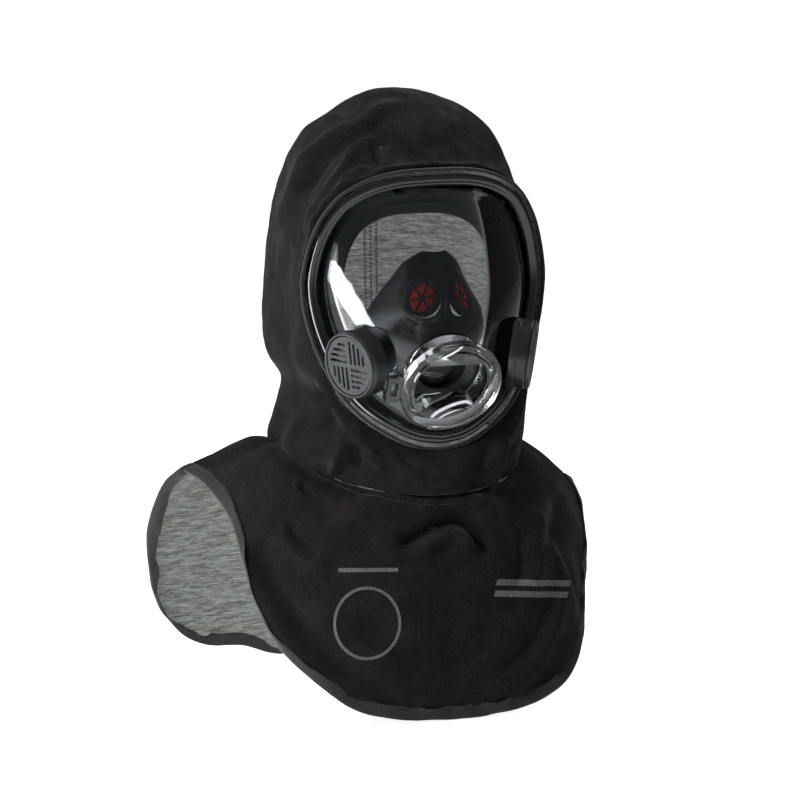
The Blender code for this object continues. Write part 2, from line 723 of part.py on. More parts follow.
# (radius, height, on the flattened bore)
PORT_PROFILE = [
    (PORT_R, -0.0060, False), (PORT_R, -0.0012, False), (0.0418, 0.0, False),
    (0.0385, 0.0, False), (0.0376, -0.0014, False), (0.0352, -0.0014, False),
    (0.0344, 0.0, False), (0.0328, 0.0, True), (PORT_BORE_R, -0.0012, True),
    (PORT_BORE_R, -0.0240, True), (PORT_BARREL_R, -0.0240, False),
    (PORT_BARREL_R, -0.0078, False), (0.0412, -0.0074, False)]
PORT_CLEARANCE = 0.0006    # round both the flange and the barrel

CATCH_OFFSET = Vector((-0.0500, 0.002, -0.0035))      # in the port frame
CATCH_XS = (-0.0062, -0.0030, 0.0030, 0.0062)
CATCH_YS = (-0.0120, -0.0060, 0.0060, 0.0120)

# (radius, height) in the port frame
PORT_GASKET = [(0.0314, -0.0246), (0.0355, -0.0246), (0.0355, -0.0262), (0.0314, -0.0262)]
CUP_RETAINER = [(0.0335, -0.0266), (0.0335, -0.0284), (0.0255, -0.0284),
                (0.0235, -0.0302), (0.0205, -0.0302), (0.0205, -0.0266)]


def port_cutters(parent):
    """Bore for the barrel and relief for the flange."""
    return (helper("cut_port_bore", disc(PORT_BARREL_R + PORT_CLEARANCE, -0.045, 0.020, 32),
                   parent, PORT),
            helper("cut_port_relief", disc(PORT_R + PORT_CLEARANCE, -0.0078, 0.020, 32),
                   parent, PORT))


def port_ring(parent):
    """One clear moulding with a ridged flange and a barrel."""
    rings = []
    for k in range(PORT_SEGMENTS):
        a = 2 * math.pi * k / PORT_SEGMENTS
        ring = []
        for r, h, flattened in PORT_PROFILE:
            x, y = r * math.cos(a), r * math.sin(a)
            flat = PORT_FLAT + (r - PORT_BORE_R)
            if flattened and abs(y) > flat:
                x *= 0.5 + 0.5 * flat / abs(y)
                y = math.copysign(flat, y)
            ring.append(Vector((x, y, h)))
        rings.append(ring)
    new_object("regulator_port_ring", skin(rings, True), CLEAR, parent, PORT, sharp_angle=30)


def port_parts(parent):
    port_ring(parent)
    # catch on the wearer's right of the port, for the regulator's latch
    frame = PORT.copy()
    frame.translation = PORT @ CATCH_OFFSET
    new_object("regulator_catch",
               lattice_plate(CATCH_XS, CATCH_YS, {(1, 1)}, -0.0035, 0.0045),
               CLEAR, parent, frame, sharp_angle=30)
    new_object("port_gasket", turned(PORT_GASKET, 32), RUBBER, parent, PORT)
    new_object("nose_cup_retainer", turned(CUP_RETAINER, 32), PLASTIC, parent, PORT)


# =============================================== nose cup and inhale valves
# Over height z (mm): half width, depth y of the ridge, depth y of the side edges.
CUP_HALF = [(254, 10), (262, 34), (275, 47), (300, 55), (326, 50), (340, 42), (351, 34),
            (368, 24), (378, 12), (382, 3)]
CUP_RIDGE = [(254, -72), (270, -84), (286, -93), (305, -100), (325, -105), (343, -107),
             (357, -103), (370, -96), (382, -87)]
CUP_EDGE = [(254, -66), (270, -58), (300, -54), (340, -57), (368, -70), (382, -82)]
CUP_LEVELS = (254, 262, 274, 290, 308, 326, 343, 357, 369, 379)
CUP_COLUMNS = 12
CUP_T = 0.0022
DUCT_R = 0.0160

VALVE_C = Vector((0.0170, -0.0985, 0.343))            # left valve
VALVE_N = Vector((0.689, -0.620, 0.375)).normalized()
VALVE_R = 0.0150
VALVE_RIM_R = 0.0122       # inner radius of the rubber rim
VALVE_RIM = [(VALVE_RIM_R, -0.0005), (VALVE_R, -0.0005), (VALVE_R, -0.0050),
             (VALVE_RIM_R, -0.0050)]
SEAT_RADII = (0.0026, 0.0114, VALVE_R)    # hub, inside and outside of the ring
SPOKES = 6
SPOKE_STEPS = (0.0, 0.28, 0.55, 0.80)     # points within one spoke pitch


def cup_point(u, z):
    """u from -1 to 1 across the cup at height z (mm)."""
    ridge, edge = table(CUP_RIDGE, z), table(CUP_EDGE, z)
    drop = 1 - (1 - abs(u) ** 1.75) ** 0.80
    return mm(u * table(CUP_HALF, z), ridge + (edge - ridge) * drop, z)


def nose_cup(parent):
    """Rubber cup with a ridge, cut for the air duct and the two valve seats."""
    grid = [[cup_point(-1 + 2 * k / CUP_COLUMNS, z) for k in range(CUP_COLUMNS + 1)]
            for z in CUP_LEVELS]
    normals = grid_normals(grid, False, lambda p: Vector((p.x * 0.5, -1.0, (p.z - 0.31) * 2)))
    cup = new_object("nose_cup", sheet(grid, normals, 0.0, -CUP_T), RUBBER, parent)
    cut(cup, helper("cut_duct", disc(DUCT_R, -0.060, -0.0290), parent, PORT))
    for word, side in SIDES:
        cut(cup, helper("cut_valve_" + word, disc(VALVE_R + 0.0004, -0.012, 0.012),
                        parent, side_frame(VALVE_C, VALVE_N, side)))


def valve_seat():
    """Ring with six spokes and a hub; one narrow step in four is a spoke."""
    steps = len(SPOKE_STEPS)
    count = SPOKES * steps
    corners = {"mid": (0.0, 0.0)}
    cells = []
    for k in range(count):
        a = 2 * math.pi / SPOKES * (k // steps + SPOKE_STEPS[k % steps])
        for i, r in enumerate(SEAT_RADII):
            corners[(i, k)] = (r * math.cos(a), r * math.sin(a))
        j = (k + 1) % count
        cells.append(["mid", (0, k), (0, j)])
        if k % steps == 0:
            cells.append([(0, k), (1, k), (1, j), (0, j)])
        cells.append([(1, k), (2, k), (2, j), (1, j)])
    return prism(corners, cells, -0.0002, 0.0012)


def inhale_valves(parent):
    for word, side in SIDES:
        frame = side_frame(VALVE_C, VALVE_N, side)
        for part, bm, mat in (("seat", valve_seat(), PLASTIC),
                              ("rim", turned(VALVE_RIM, 24), RUBBER),
                              ("disc", disc(0.0113, -0.0011, -0.0005, 24), RED)):
            new_object("inhale_valve_%s_%s" % (part, word), bm, mat, parent, frame)


# ======================================================== voice housings
VOICE_C = Vector((0.079, -0.098, 0.291))              # left grille centre
VOICE_N = Vector((0.900, -0.410, -0.145)).normalized()
VOICE_R = 0.0285
RECESS_R = 0.0252          # recess for the rim and grille
GRILLE_R = 0.0244
# (radius, height)
VOICE_HOUSING = [
    (VOICE_R, -0.0036), (0.0273, -0.0020), (RECESS_R, -0.0020), (RECESS_R, -0.0064),
    (0.0200, -0.0064), (0.0200, -0.0150), (0.0100, -0.0150), (0.0100, -0.0180),
    (0.0265, -0.0180), (VOICE_R, -0.0160)]
VOICE_RIM = [(0.0276, -0.0016), (0.0276, 0.0010), (0.0266, 0.0020), (RECESS_R, 0.0020),
             (RECESS_R, -0.0016)]
VOICE_GASKET = [(0.0205, -0.0016), (GRILLE_R, -0.0016), (GRILLE_R, -0.0040),
                (0.0205, -0.0040)]
SLOTS = 4                  # in each quarter of the grille
SLOT_FIRST = 0.0032        # first slot off the centre line
SLOT_PITCH = 0.0047
SLOT_W = 0.0024
SLOT_START = 0.0016        # near end of a slot off the other centre line
SLOT_REACH_R = 0.0212      # the far ends lie on this circle
SLOT_CUT_H = 0.010


def voice_cutters(parent):
    return [helper("cut_voice_" + word, disc(VOICE_R + 0.0004, -0.030, 0.012, 32),
                   parent, side_frame(VOICE_C, VOICE_N, side)) for word, side in SIDES]


def grille_slots():
    """Slots in four quarters, upright in one pair of them and level in the other."""
    bm = bmesh.new()
    for qx in (-1, 1):
        for qy in (-1, 1):
            for i in range(SLOTS):
                off = SLOT_FIRST + SLOT_PITCH * i
                end = math.sqrt(SLOT_REACH_R ** 2 - (off + SLOT_W / 2) ** 2)
                middle = (SLOT_START + end) / 2
                length = end - SLOT_START
                if qx == qy:
                    add_box(bm, (qx * off, qy * middle, 0), (SLOT_W, length, SLOT_CUT_H))
                else:
                    add_box(bm, (qx * middle, qy * off, 0), (length, SLOT_W, SLOT_CUT_H))
    return bm


def voice_parts(parent):
    for word, side in SIDES:
        frame = side_frame(VOICE_C, VOICE_N, side)
        new_object("voice_housing_" + word, turned(VOICE_HOUSING, 22), PLASTIC, parent, frame)
        new_object("voice_rim_" + word, turned(VOICE_RIM, 24), GRILLE, parent, frame)
        grille = new_object("voice_grille_" + word, disc(GRILLE_R, -0.0012, 0.0010, 32),
                            GRILLE, parent, frame)
        cut(grille, helper("cut_slots_" + word, grille_slots(), parent, frame))
        new_object("voice_gasket_" + word, turned(VOICE_GASKET), RUBBER, parent, frame)
        new_object("voice_diaphragm_" + word, disc(0.0240, -0.0058, -0.0046), FOIL,
                   parent, frame)


# ================================================================ harness
# Left straps: name, path of (x, y, z) (mm), width, thickness, steps.
STRAPS = (
    ("temple_strap_", [(80, -43, 400), (82, -10, 402), (76, 35, 405), (55, 74, 409),
                       (31, 90, 412)], 0.018, 0.0018, 9),
    ("neck_strap_", [(62, -20, 264), (63, 0, 262), (56, 40, 262), (38, 70, 262),
                     (21, 80, 262)], 0.016, 0.0018, 8),
    ("seal_tab_", [(70, -43.5, 270), (68.5, -42.5, 269), (66.8, -42, 268)],
     0.012, 0.0020, 2),
)
# Pads at the back of the head: name, x stations, z stations, y of the middle,
# curve forward at x = 60 (all mm).
PADS = (
    ("crown_pad", (-29, -15, 0, 15, 29), (392, 404, 418, 430), 92, 6),
    ("nape_pad", (-19, 0, 19), (249, 262, 275), 81, 4),
)
PAD_HALF_T = 0.0015

PIN_C = Vector((0.0610, -0.0390, 0.2640))             # left buckle pin
PIN_R = 0.0008
PIN_HALF = 0.0110
PIN_HOLE_R = 0.0011
PIN_HOLE_HALF = 0.0135
# Buckle frame from the pin: stations rearward and upward, and half thickness.
BUCKLE_YS = (-0.0030, 0.0030, 0.0120, 0.0150)
BUCKLE_ZS = (-0.0105, -0.0080, 0.0080, 0.0105)
BUCKLE_NOTCH = {(0, 1), (1, 1)}           # open towards the front
BUCKLE_HALF_T = 0.0016
# The plate's local x, y and z lie along world Y, Z and X.
BUCKLE_TURN = Matrix(((0, 0, 1, 0), (1, 0, 0, 0), (0, 1, 0, 0), (0, 0, 0, 1)))
LEVER_EYE = [(0.0022, -0.0070), (0.0022, 0.0070), (PIN_HOLE_R, 0.0070),
             (PIN_HOLE_R, -0.0070)]
LEVER_PLATE_C = (0.0, 0.0056, 0.0)
LEVER_PLATE_SIZE = (0.0014, 0.0084, 0.0130)


def strap(name, path, width, thickness, count, parent):
    """Flat strap along a path, its width as upright as the path allows."""
    up = Vector((0, 0, 1))
    points = resample(path, count)
    rings = []
    for k, p in enumerate(points):
        along = (points[min(k + 1, count)] - points[max(k - 1, 0)]).normalized()
        edge = (up - along * up.dot(along)).normalized()
        a = edge * width / 2
        b = along.cross(edge) * thickness / 2
        rings.append([p + a + b, p - a + b, p - a - b, p + a - b])
    new_object(name, skin(rings, False), STRAP, parent)


def pad(name, xs, zs, middle_y, curve, parent):
    """Curved plate that joins the straps of both sides."""
    grid = [[mm(x, middle_y - (x / 60) ** 2 * curve, z) for x in xs] for z in zs]
    normals = [[Vector((x / 170, 1, 0)).normalized() for x in xs] for _ in zs]
    new_object(name, sheet(grid, normals, PAD_HALF_T, -PAD_HALF_T), STRAP, parent)


def buckle(word, side, parent):
    """Strap buckle: frame, upright pin, and a lever that turns on the pin."""
    centre = on_side(PIN_C, side)
    frame = Matrix.Translation(centre)
    body = lattice_plate(BUCKLE_YS, BUCKLE_ZS, BUCKLE_NOTCH, -BUCKLE_HALF_T, BUCKLE_HALF_T)
    body = new_object("strap_buckle_" + word, body, STEEL, parent, frame @ BUCKLE_TURN,
                      sharp_angle=30)
    cut(body, helper("cut_pin_" + word, disc(PIN_HOLE_R, -PIN_HOLE_HALF, PIN_HOLE_HALF, 12),
                     parent, frame))
    pivot = empty("buckle_pivot_" + word, centre, parent)
    new_object("buckle_pin_" + word, disc(PIN_R, -PIN_HALF, PIN_HALF, 10), STEEL,
               parent, frame)
    # ring eye round the pin, joined to a plate that runs back along +Y
    lever = new_object("buckle_lever_" + word, turned(LEVER_EYE, 16), STEEL, pivot, frame,
                       sharp_angle=30)
    plate = bmesh.new()
    add_box(plate, LEVER_PLATE_C, LEVER_PLATE_SIZE)
    boolean(lever, helper("add_plate_" + word, plate, pivot, frame), "plate", 'UNION')


def harness(parent):
    for word, side in SIDES:
        for stem, path, width, thickness, count in STRAPS:
            points = [mm(side * x, y, z) for x, y, z in path]
            strap(stem + word, points, width, thickness, count, parent)
        buckle(word, side, parent)
    for entry in PADS:
        pad(*entry, parent)


def build_facepiece(face):
    port_bore, port_relief = port_cutters(face)
    voice_bores = voice_cutters(face)
    visor_lens(face, (port_bore, port_relief, *voice_bores))
    count = len(RING)
    split = min(range(count // 2), key=lambda k: abs(RING[k][1] - SPLIT_Z))
    bezel_half("bezel_upper", count - split, count + split, face, voice_bores)
    bezel_half("bezel_lower", split, count - split, face, (port_relief, *voice_bores))
    bezel_screws(split, face)
    face_seal(face)
    port_parts(face)
    nose_cup(face)
    inhale_valves(face)
    voice_parts(face)
    harness(face)


# ================================================================== build
hood_root = empty("hood", (0, 0, 0))
build_hood(hood_root)
face_root = empty("facepiece", PORT_C)
build_facepiece(face_root)

for root in (hood_root, face_root):
    root.location.x -= MIDDLE_X
    root.location.y -= MIDDLE_Y
bpy.context.view_layer.update()
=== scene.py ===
# A full-face mask worn inside a knitted hood with a shoulder bib.
# Metres, +Z up. The mask faces -Y, its "left" parts lie at +X and its "right" parts at -X,
# and the bib's hem rests on the floor at Z = 0. Tables of shape are in millimetres.
import math

import bmesh
import bpy
import numpy as np
from mathutils import Matrix, Vector, noise
from mathutils.bvhtree import BVHTree


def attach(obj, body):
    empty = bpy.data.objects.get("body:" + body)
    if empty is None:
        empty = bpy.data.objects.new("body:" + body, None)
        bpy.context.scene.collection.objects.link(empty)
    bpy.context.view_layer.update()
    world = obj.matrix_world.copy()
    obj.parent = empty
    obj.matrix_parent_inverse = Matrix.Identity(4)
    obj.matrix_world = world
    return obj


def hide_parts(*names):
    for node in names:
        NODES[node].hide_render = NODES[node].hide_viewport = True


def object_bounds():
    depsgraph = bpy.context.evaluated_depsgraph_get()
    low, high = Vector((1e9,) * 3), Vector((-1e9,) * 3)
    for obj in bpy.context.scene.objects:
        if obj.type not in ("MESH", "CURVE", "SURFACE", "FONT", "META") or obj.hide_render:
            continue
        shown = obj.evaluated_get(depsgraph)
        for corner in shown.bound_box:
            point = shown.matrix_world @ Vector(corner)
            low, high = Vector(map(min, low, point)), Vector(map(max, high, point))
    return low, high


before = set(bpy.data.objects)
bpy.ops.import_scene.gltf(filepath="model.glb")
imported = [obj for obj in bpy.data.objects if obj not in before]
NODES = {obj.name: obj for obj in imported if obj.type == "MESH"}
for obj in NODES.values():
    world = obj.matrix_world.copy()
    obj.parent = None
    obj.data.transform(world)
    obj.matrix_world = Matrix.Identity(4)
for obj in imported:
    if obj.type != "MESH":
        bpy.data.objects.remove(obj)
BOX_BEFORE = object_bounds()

SIDES = (("left", 1), ("right", -1))
# Shapes are drawn about the mask's centre plane; the frame's origin lies under the
# middle of the overall width and depth.
CENTRE_OFFSET = (0.00913, 0.00149)
SHIFT = Vector((0.5 * (BOX_BEFORE[0][0] + BOX_BEFORE[1][0]) + CENTRE_OFFSET[0],
                0.5 * (BOX_BEFORE[0][1] + BOX_BEFORE[1][1]) + CENTRE_OFFSET[1], 0.0))

# Axes of the camera's view. Folds, prints and reflections are placed in this plane,
# in millimetres to the right and up from the shapes' origin.
TO_CAMERA = np.array([-0.3368, -0.9254, 0.1719])
TO_CAMERA = TO_CAMERA / np.linalg.norm(TO_CAMERA)
VIEW_RIGHT = np.array([0.9397, -0.3420, 0.0])
VIEW_UP = np.cross(TO_CAMERA, VIEW_RIGHT)


# ------------------------------------------------------------- curves and fields
def mm(*values):
    return Vector([v / 1000.0 for v in values])


def metres(points):
    return [tuple(v / 1000 for v in point) for point in points]


def catmull(points, u):
    """Point at u (0 to 1) on the Catmull-Rom curve through points."""
    last = len(points) - 1
    f = min(max(u, 0.0), 1.0) * last
    i = min(int(f), last - 1)
    f -= i
    near = points[max(i - 1, 0)], points[i], points[i + 1], points[min(i + 2, last)]
    return Vector([0.5 * (2 * b + (c - a) * f + (2 * a - 5 * b + 4 * c - d) * f * f
                          + (3 * b - a - 3 * c + d) * f ** 3)
                   for a, b, c, d in zip(*near)])


def resample(points, count, dense=600):
    """count + 1 points evenly spaced along the curve through points."""
    fine = [catmull(points, k / dense) for k in range(dense + 1)]
    travelled = [0.0]
    for a, b in zip(fine, fine[1:]):
        travelled.append(travelled[-1] + (b - a).length)
    out = []
    j = 0
    for k in range(count + 1):
        want = travelled[-1] * k / count
        while j < dense - 1 and travelled[j + 1] < want:
            j += 1
        f = (want - travelled[j]) / max(travelled[j + 1] - travelled[j], 1e-12)
        out.append(fine[j].lerp(fine[j + 1], min(max(f, 0.0), 1.0)))
    return out


def spread(rows, count, wrap=False):
    """Catmull-Rom refinement of an array along its first axis."""
    a = np.asarray(rows, float)
    n = len(a)
    if wrap:
        u = np.arange(count) * n / count
        i = np.floor(u).astype(int)
        p = [a[(i + k) % n] for k in (-1, 0, 1, 2)]
    else:
        u = np.linspace(0, n - 1, count)
        i = np.minimum(np.floor(u).astype(int), n - 2)
        p = [a[np.clip(i + k, 0, n - 1)] for k in (-1, 0, 1, 2)]
    f = (u - i).reshape((-1,) + (1,) * (a.ndim - 1))
    return 0.5 * (2 * p[1] + (p[2] - p[0]) * f
                  + (2 * p[0] - 5 * p[1] + 4 * p[2] - p[3]) * f ** 2
                  + (3 * p[1] - p[0] - 3 * p[2] + p[3]) * f ** 3)


def refine(cage, rows, columns, wrap=False):
    """Refine a grid of points along both axes; wrap closes each row."""
    tall = spread(cage, rows)
    return np.swapaxes(spread(np.swapaxes(tall, 0, 1), columns, wrap), 0, 1)


def table(rows, x):
    """Linear look-up in (x, value) rows, held at both ends."""
    if x <= rows[0][0]:
        return rows[0][1]
    for (x0, v0), (x1, v1) in zip(rows, rows[1:]):
        if x <= x1:
            return v0 + (v1 - v0) * (x - x0) / (x1 - x0)
    return rows[-1][1]


def smoothstep(start, end, x):
    t = np.clip((np.asarray(x, float) - start) / (end - start), 0, 1)
    return t * t * (3 - 2 * t)


def bell(x, centre, width):
    return np.exp(-((x - centre) / width) ** 2)


def signed_power(value, power):
    return math.copysign(abs(value) ** power, value)


def noise_at(points, scale, seed, octaves):
    """Smooth noise from -1 to 1 at points in metres; scale is features per metre."""
    q = points.reshape(-1, 3) * scale + np.array([seed, seed * 1.7, -seed])
    return np.array([noise.fractal(Vector(v), 1.0, 2.0, octaves)
                     for v in q]).reshape(points.shape[:-1])


def unit(vectors):
    return vectors / np.linalg.norm(vectors, axis=-1, keepdims=True)


def normals_of(grid, wrap, outward):
    """Unit normals of a grid of points, on the side that outward mostly points to."""
    down = np.gradient(grid, axis=0)
    across = np.roll(grid, -1, 1) - np.roll(grid, 1, 1) if wrap else np.gradient(grid, axis=1)
    n = np.cross(down, across)
    n = n / np.maximum(np.linalg.norm(n, axis=-1, keepdims=True), 1e-12)
    return -n if np.mean(np.sum(n * outward, -1)) < 0 else n


def axis_frame(centre, normal):
    """Frame with Z along normal and Y as near upright as it can be."""
    z = normal.normalized()
    up = Vector((0, 0, 1))
    y = (up - z * up.dot(z)).normalized()
    basis = Matrix((y.cross(z), y, z)).transposed().to_4x4()
    basis.translation = centre
    return basis


def on_side(vector, side):
    return Vector((side * vector.x, vector.y, vector.z))


# ------------------------------------------------------------- material helpers
def rgba(colour):
    """Opaque colour from an RGB tuple or a grey level."""
    return (*colour, 1.0) if isinstance(colour, tuple) else (colour, colour, colour, 1.0)


def node(tree, kind, inputs=None, **props):
    made = tree.nodes.new(kind)
    for key, value in props.items():
        setattr(made, key, value)
    for key, value in (inputs or {}).items():
        if isinstance(value, bpy.types.NodeSocket):
            tree.links.new(value, made.inputs[key])
        else:
            made.inputs[key].default_value = value
    return made


def material(name, build, **settings):
    """New material whose surface is the shader node that build(tree) returns."""
    made = bpy.data.materials.new(name)
    made.use_nodes = True
    tree = made.node_tree
    tree.nodes.clear()
    output = tree.nodes.new('ShaderNodeOutputMaterial')
    tree.links.new(build(tree, **settings).outputs[0], output.inputs[0])
    return made


def coords(tree, scale=(1, 1, 1)):
    place = node(tree, 'ShaderNodeTexCoord').outputs['Object']
    return node(tree, 'ShaderNodeMapping', {'Vector': place, 'Scale': scale}).outputs[0]


def noise_map(tree, place, scale, detail=3.0, roughness=0.55):
    return node(tree, 'ShaderNodeTexNoise', {'Vector': place, 'Scale': scale, 'Detail': detail,
                                             'Roughness': roughness}).outputs[0]


def ramp(tree, factor, *stops):
    """Colour ramp through (position, colour or grey) stops."""
    made = node(tree, 'ShaderNodeValToRGB', {'Fac': factor})
    elements = made.color_ramp.elements
    while len(elements) > 1:
        elements.remove(elements[-1])
    elements[0].position = stops[0][0]
    elements[0].color = rgba(stops[0][1])
    for position, colour in stops[1:]:
        elements.new(position).color = rgba(colour)
    return made.outputs[0]


def bump(tree, height, strength, distance, normal=None):
    inputs = {'Height': height, 'Strength': strength, 'Distance': distance}
    if normal is not None:
        inputs['Normal'] = normal
    return node(tree, 'ShaderNodeBump', inputs).outputs[0]


def maths(tree, operation, a, b):
    return node(tree, 'ShaderNodeMath', {0: a, 1: b}, operation=operation).outputs[0]


def weighted_sum(tree, *terms):
    """Sum of (socket, weight) terms."""
    total, *rest = [maths(tree, 'MULTIPLY', socket, weight) for socket, weight in terms]
    for term in rest:
        total = maths(tree, 'ADD', total, term)
    return total


def principled(tree, inputs):
    return node(tree, 'ShaderNodeBsdfPrincipled', inputs)


# ------------------------------------------------------------- materials
def fleece(tree):
    place = coords(tree)
    fine = noise_map(tree, place, scale=1500.0, roughness=0.7)
    pile = noise_map(tree, place, scale=520.0, detail=4.0, roughness=0.65)
    patch = noise_map(tree, place, scale=45.0, detail=4.0, roughness=0.6)
    colour = ramp(tree, weighted_sum(tree, (fine, 0.45), (pile, 0.35), (patch, 0.20)),
                  (0.34, (0.0022, 0.0020, 0.0021)), (0.50, (0.0070, 0.0064, 0.0066)),
                  (0.60, (0.0165, 0.0152, 0.0156)), (0.72, (0.055, 0.051, 0.052)))
    nap = bump(tree, pile, strength=0.55, distance=0.0007)
    nap = bump(tree, fine, strength=0.60, distance=0.0004, normal=nap)
    sheen = ramp(tree, patch, (0.3, 0.03), (0.7, 0.09))
    return principled(tree, {
        'Base Color': colour, 'Roughness': 0.92, 'Normal': nap, 'Specular IOR Level': 0.08,
        'Sheen Weight': sheen, 'Sheen Roughness': 0.42, 'Sheen Tint': rgba((0.85, 0.87, 0.9))})


def heather(tree):
    # noise squeezed along Z gives the level streaks of the jersey
    wide = noise_map(tree, coords(tree, (60, 60, 520)), scale=1.0, roughness=0.6)
    streak = noise_map(tree, coords(tree, (170, 170, 1500)), scale=1.0, detail=4.0, roughness=0.7)
    fine = noise_map(tree, coords(tree), scale=2600.0, detail=2.0, roughness=0.6)
    colour = ramp(tree, weighted_sum(tree, (wide, 0.38), (streak, 0.42), (fine, 0.20)),
                  (0.36, (0.022, 0.023, 0.023)), (0.45, (0.062, 0.064, 0.062)),
                  (0.52, (0.13, 0.133, 0.128)), (0.62, (0.22, 0.224, 0.215)))
    knit = bump(tree, streak, strength=0.30, distance=0.0004)
    knit = bump(tree, fine, strength=0.35, distance=0.0003, normal=knit)
    return principled(tree, {'Base Color': colour, 'Roughness': 0.9, 'Normal': knit,
                             'Specular IOR Level': 0.15, 'Sheen Weight': 0.15})


def tape(tree):
    place = coords(tree)
    fine = noise_map(tree, place, scale=2100.0, detail=2.0, roughness=0.6)
    rib = noise_map(tree, place, scale=800.0, detail=2.0, roughness=0.5)
    colour = ramp(tree, fine, (0.35, 0.003), (0.55, 0.009), (0.72, 0.024))
    weave = bump(tree, rib, strength=0.4, distance=0.0004)
    weave = bump(tree, fine, strength=0.5, distance=0.0003, normal=weave)
    return principled(tree, {'Base Color': colour, 'Roughness': 0.8, 'Normal': weave,
                             'Specular IOR Level': 0.25, 'Sheen Weight': 0.2})


def thread(tree):
    twist = noise_map(tree, coords(tree), scale=3500.0, detail=1.0)
    return principled(tree, {'Base Color': ramp(tree, twist, (0.4, 0.006), (0.65, 0.03)),
                             'Roughness': 0.5,
                             'Normal': bump(tree, twist, strength=0.5, distance=0.0002)})


def moulded(tree, base, rough, grain=900.0, coat=0.0, depth=0.25, wear=0.35):
    """Moulded plastic or rubber: wear lightens patches, depth is the grain's bump."""
    place = coords(tree)
    fine = noise_map(tree, place, scale=grain, roughness=0.5)
    worn = noise_map(tree, place, scale=38.0, detail=5.0, roughness=0.65)
    scuff = noise_map(tree, coords(tree, (1, 1, 6)), scale=160.0, detail=4.0, roughness=0.7)
    dark = tuple(v * 0.65 for v in base)
    light = tuple(min(v * (1 + wear) + 0.002, 1) for v in base)
    return principled(tree, {
        'Base Color': ramp(tree, weighted_sum(tree, (worn, 0.7), (fine, 0.3)),
                           (0.35, dark), (0.68, light)),
        'Roughness': ramp(tree, scuff, (0.35, rough * 0.8), (0.70, min(rough * 1.35, 1))),
        'Coat Weight': coat, 'Coat Roughness': 0.08,
        'Normal': bump(tree, fine, strength=depth, distance=0.0001)})


def metal(tree, base, rough):
    brushed = noise_map(tree, coords(tree, (1, 1, 14)), scale=420.0, roughness=0.6)
    return principled(tree, {
        'Base Color': ramp(tree, brushed, (0.3, tuple(v * 0.7 for v in base)), (0.7, base)),
        'Roughness': ramp(tree, brushed, (0.3, rough * 0.7), (0.7, rough * 1.5)),
        'Metallic': 1.0, 'Normal': bump(tree, brushed, strength=0.2, distance=0.0001)})


def filmed(tree, tint, roughness, ior):
    """See-through tint with a mirror film that strengthens at grazing angles."""
    through = node(tree, 'ShaderNodeBsdfTransparent', {'Color': rgba(tint)})
    mirror = node(tree, 'ShaderNodeBsdfGlossy', {'Color': rgba(1.0), 'Roughness': roughness})
    fresnel = node(tree, 'ShaderNodeFresnel', {'IOR': ior})
    return node(tree, 'ShaderNodeMixShader',
                {0: fresnel.outputs[0], 1: through.outputs[0], 2: mirror.outputs[0]})


def clear_sheet(tree):
    smear = noise_map(tree, coords(tree), scale=26.0, detail=4.0, roughness=0.6)
    rough = ramp(tree, smear, (0.4, 0.012), (0.75, 0.05))
    return filmed(tree, tint=(0.90, 0.915, 0.925), roughness=rough, ior=1.5)


def clear_block(tree):
    haze = noise_map(tree, coords(tree), scale=55.0)
    rough = ramp(tree, haze, (0.4, 0.012), (0.7, 0.04))
    solid = principled(tree, {
        'Base Color': rgba((0.93, 0.95, 0.96)), 'Roughness': rough, 'IOR': 1.49,
        'Transmission Weight': 1.0, 'Normal': bump(tree, haze, strength=0.02, distance=0.0001)})
    film = filmed(tree, tint=(0.90, 0.91, 0.92), roughness=rough, ior=1.6)
    film_share = 0.80
    return node(tree, 'ShaderNodeMixShader',
                {0: film_share, 1: solid.outputs[0], 2: film.outputs[0]})


def printed(tree, level):
    wear = noise_map(tree, coords(tree), scale=900.0, roughness=0.7)
    return principled(tree, {
        'Base Color': ramp(tree, wear, (0.38, level * 0.25), (0.55, level)), 'Roughness': 0.75,
        'Normal': bump(tree, wear, strength=0.4, distance=0.0002)})


FLEECE = material("brushed_black_knit", fleece)
LINING = material("grey_heather_jersey", heather)
TAPE = material("black_stretch_tape", tape)
THREAD = material("polyester_thread", thread)
CLEAR = material("clear_visor", clear_sheet)
BLOCK = material("clear_moulding", clear_block)
BEZEL = material("gloss_black_moulding", moulded, base=(0.0085, 0.0085, 0.009), rough=0.16,
                 grain=700.0, coat=0.6, depth=0.10)
RUBBER = material("satin_black_rubber", moulded, base=(0.0075, 0.0073, 0.0075), rough=0.42,
                  grain=1300.0, depth=0.12)
SKIRT = material("soft_black_rubber", moulded, base=(0.0085, 0.0085, 0.009), rough=0.55,
                 grain=1100.0, depth=0.35)
HOUSE = material("satin_black_moulding", moulded, base=(0.0095, 0.0095, 0.010), rough=0.33,
                 grain=1500.0, depth=0.40)
GRILLE = material("dark_grey_moulding", moulded, base=(0.030, 0.030, 0.031), rough=0.38,
                  grain=1700.0, depth=0.35)
RED = material("red_silicone", moulded, base=(0.70, 0.030, 0.026), rough=0.38, coat=0.2, wear=0.2)
FILM = material("diaphragm_film", metal, base=(0.35, 0.35, 0.36), rough=0.35)
STEEL = material("brushed_steel", metal, base=(0.42, 0.42, 0.43), rough=0.30)
STRAP = material("strap_rubber", moulded, base=(0.011, 0.011, 0.0115), rough=0.55,
                 grain=1200.0, depth=0.45)
PRINT = material("worn_grey_print", printed, level=0.085)


# ------------------------------------------------------------- mesh makers
def link(name, data):
    obj = bpy.data.objects.new(name, data)
    bpy.context.scene.collection.objects.link(obj)
    return obj


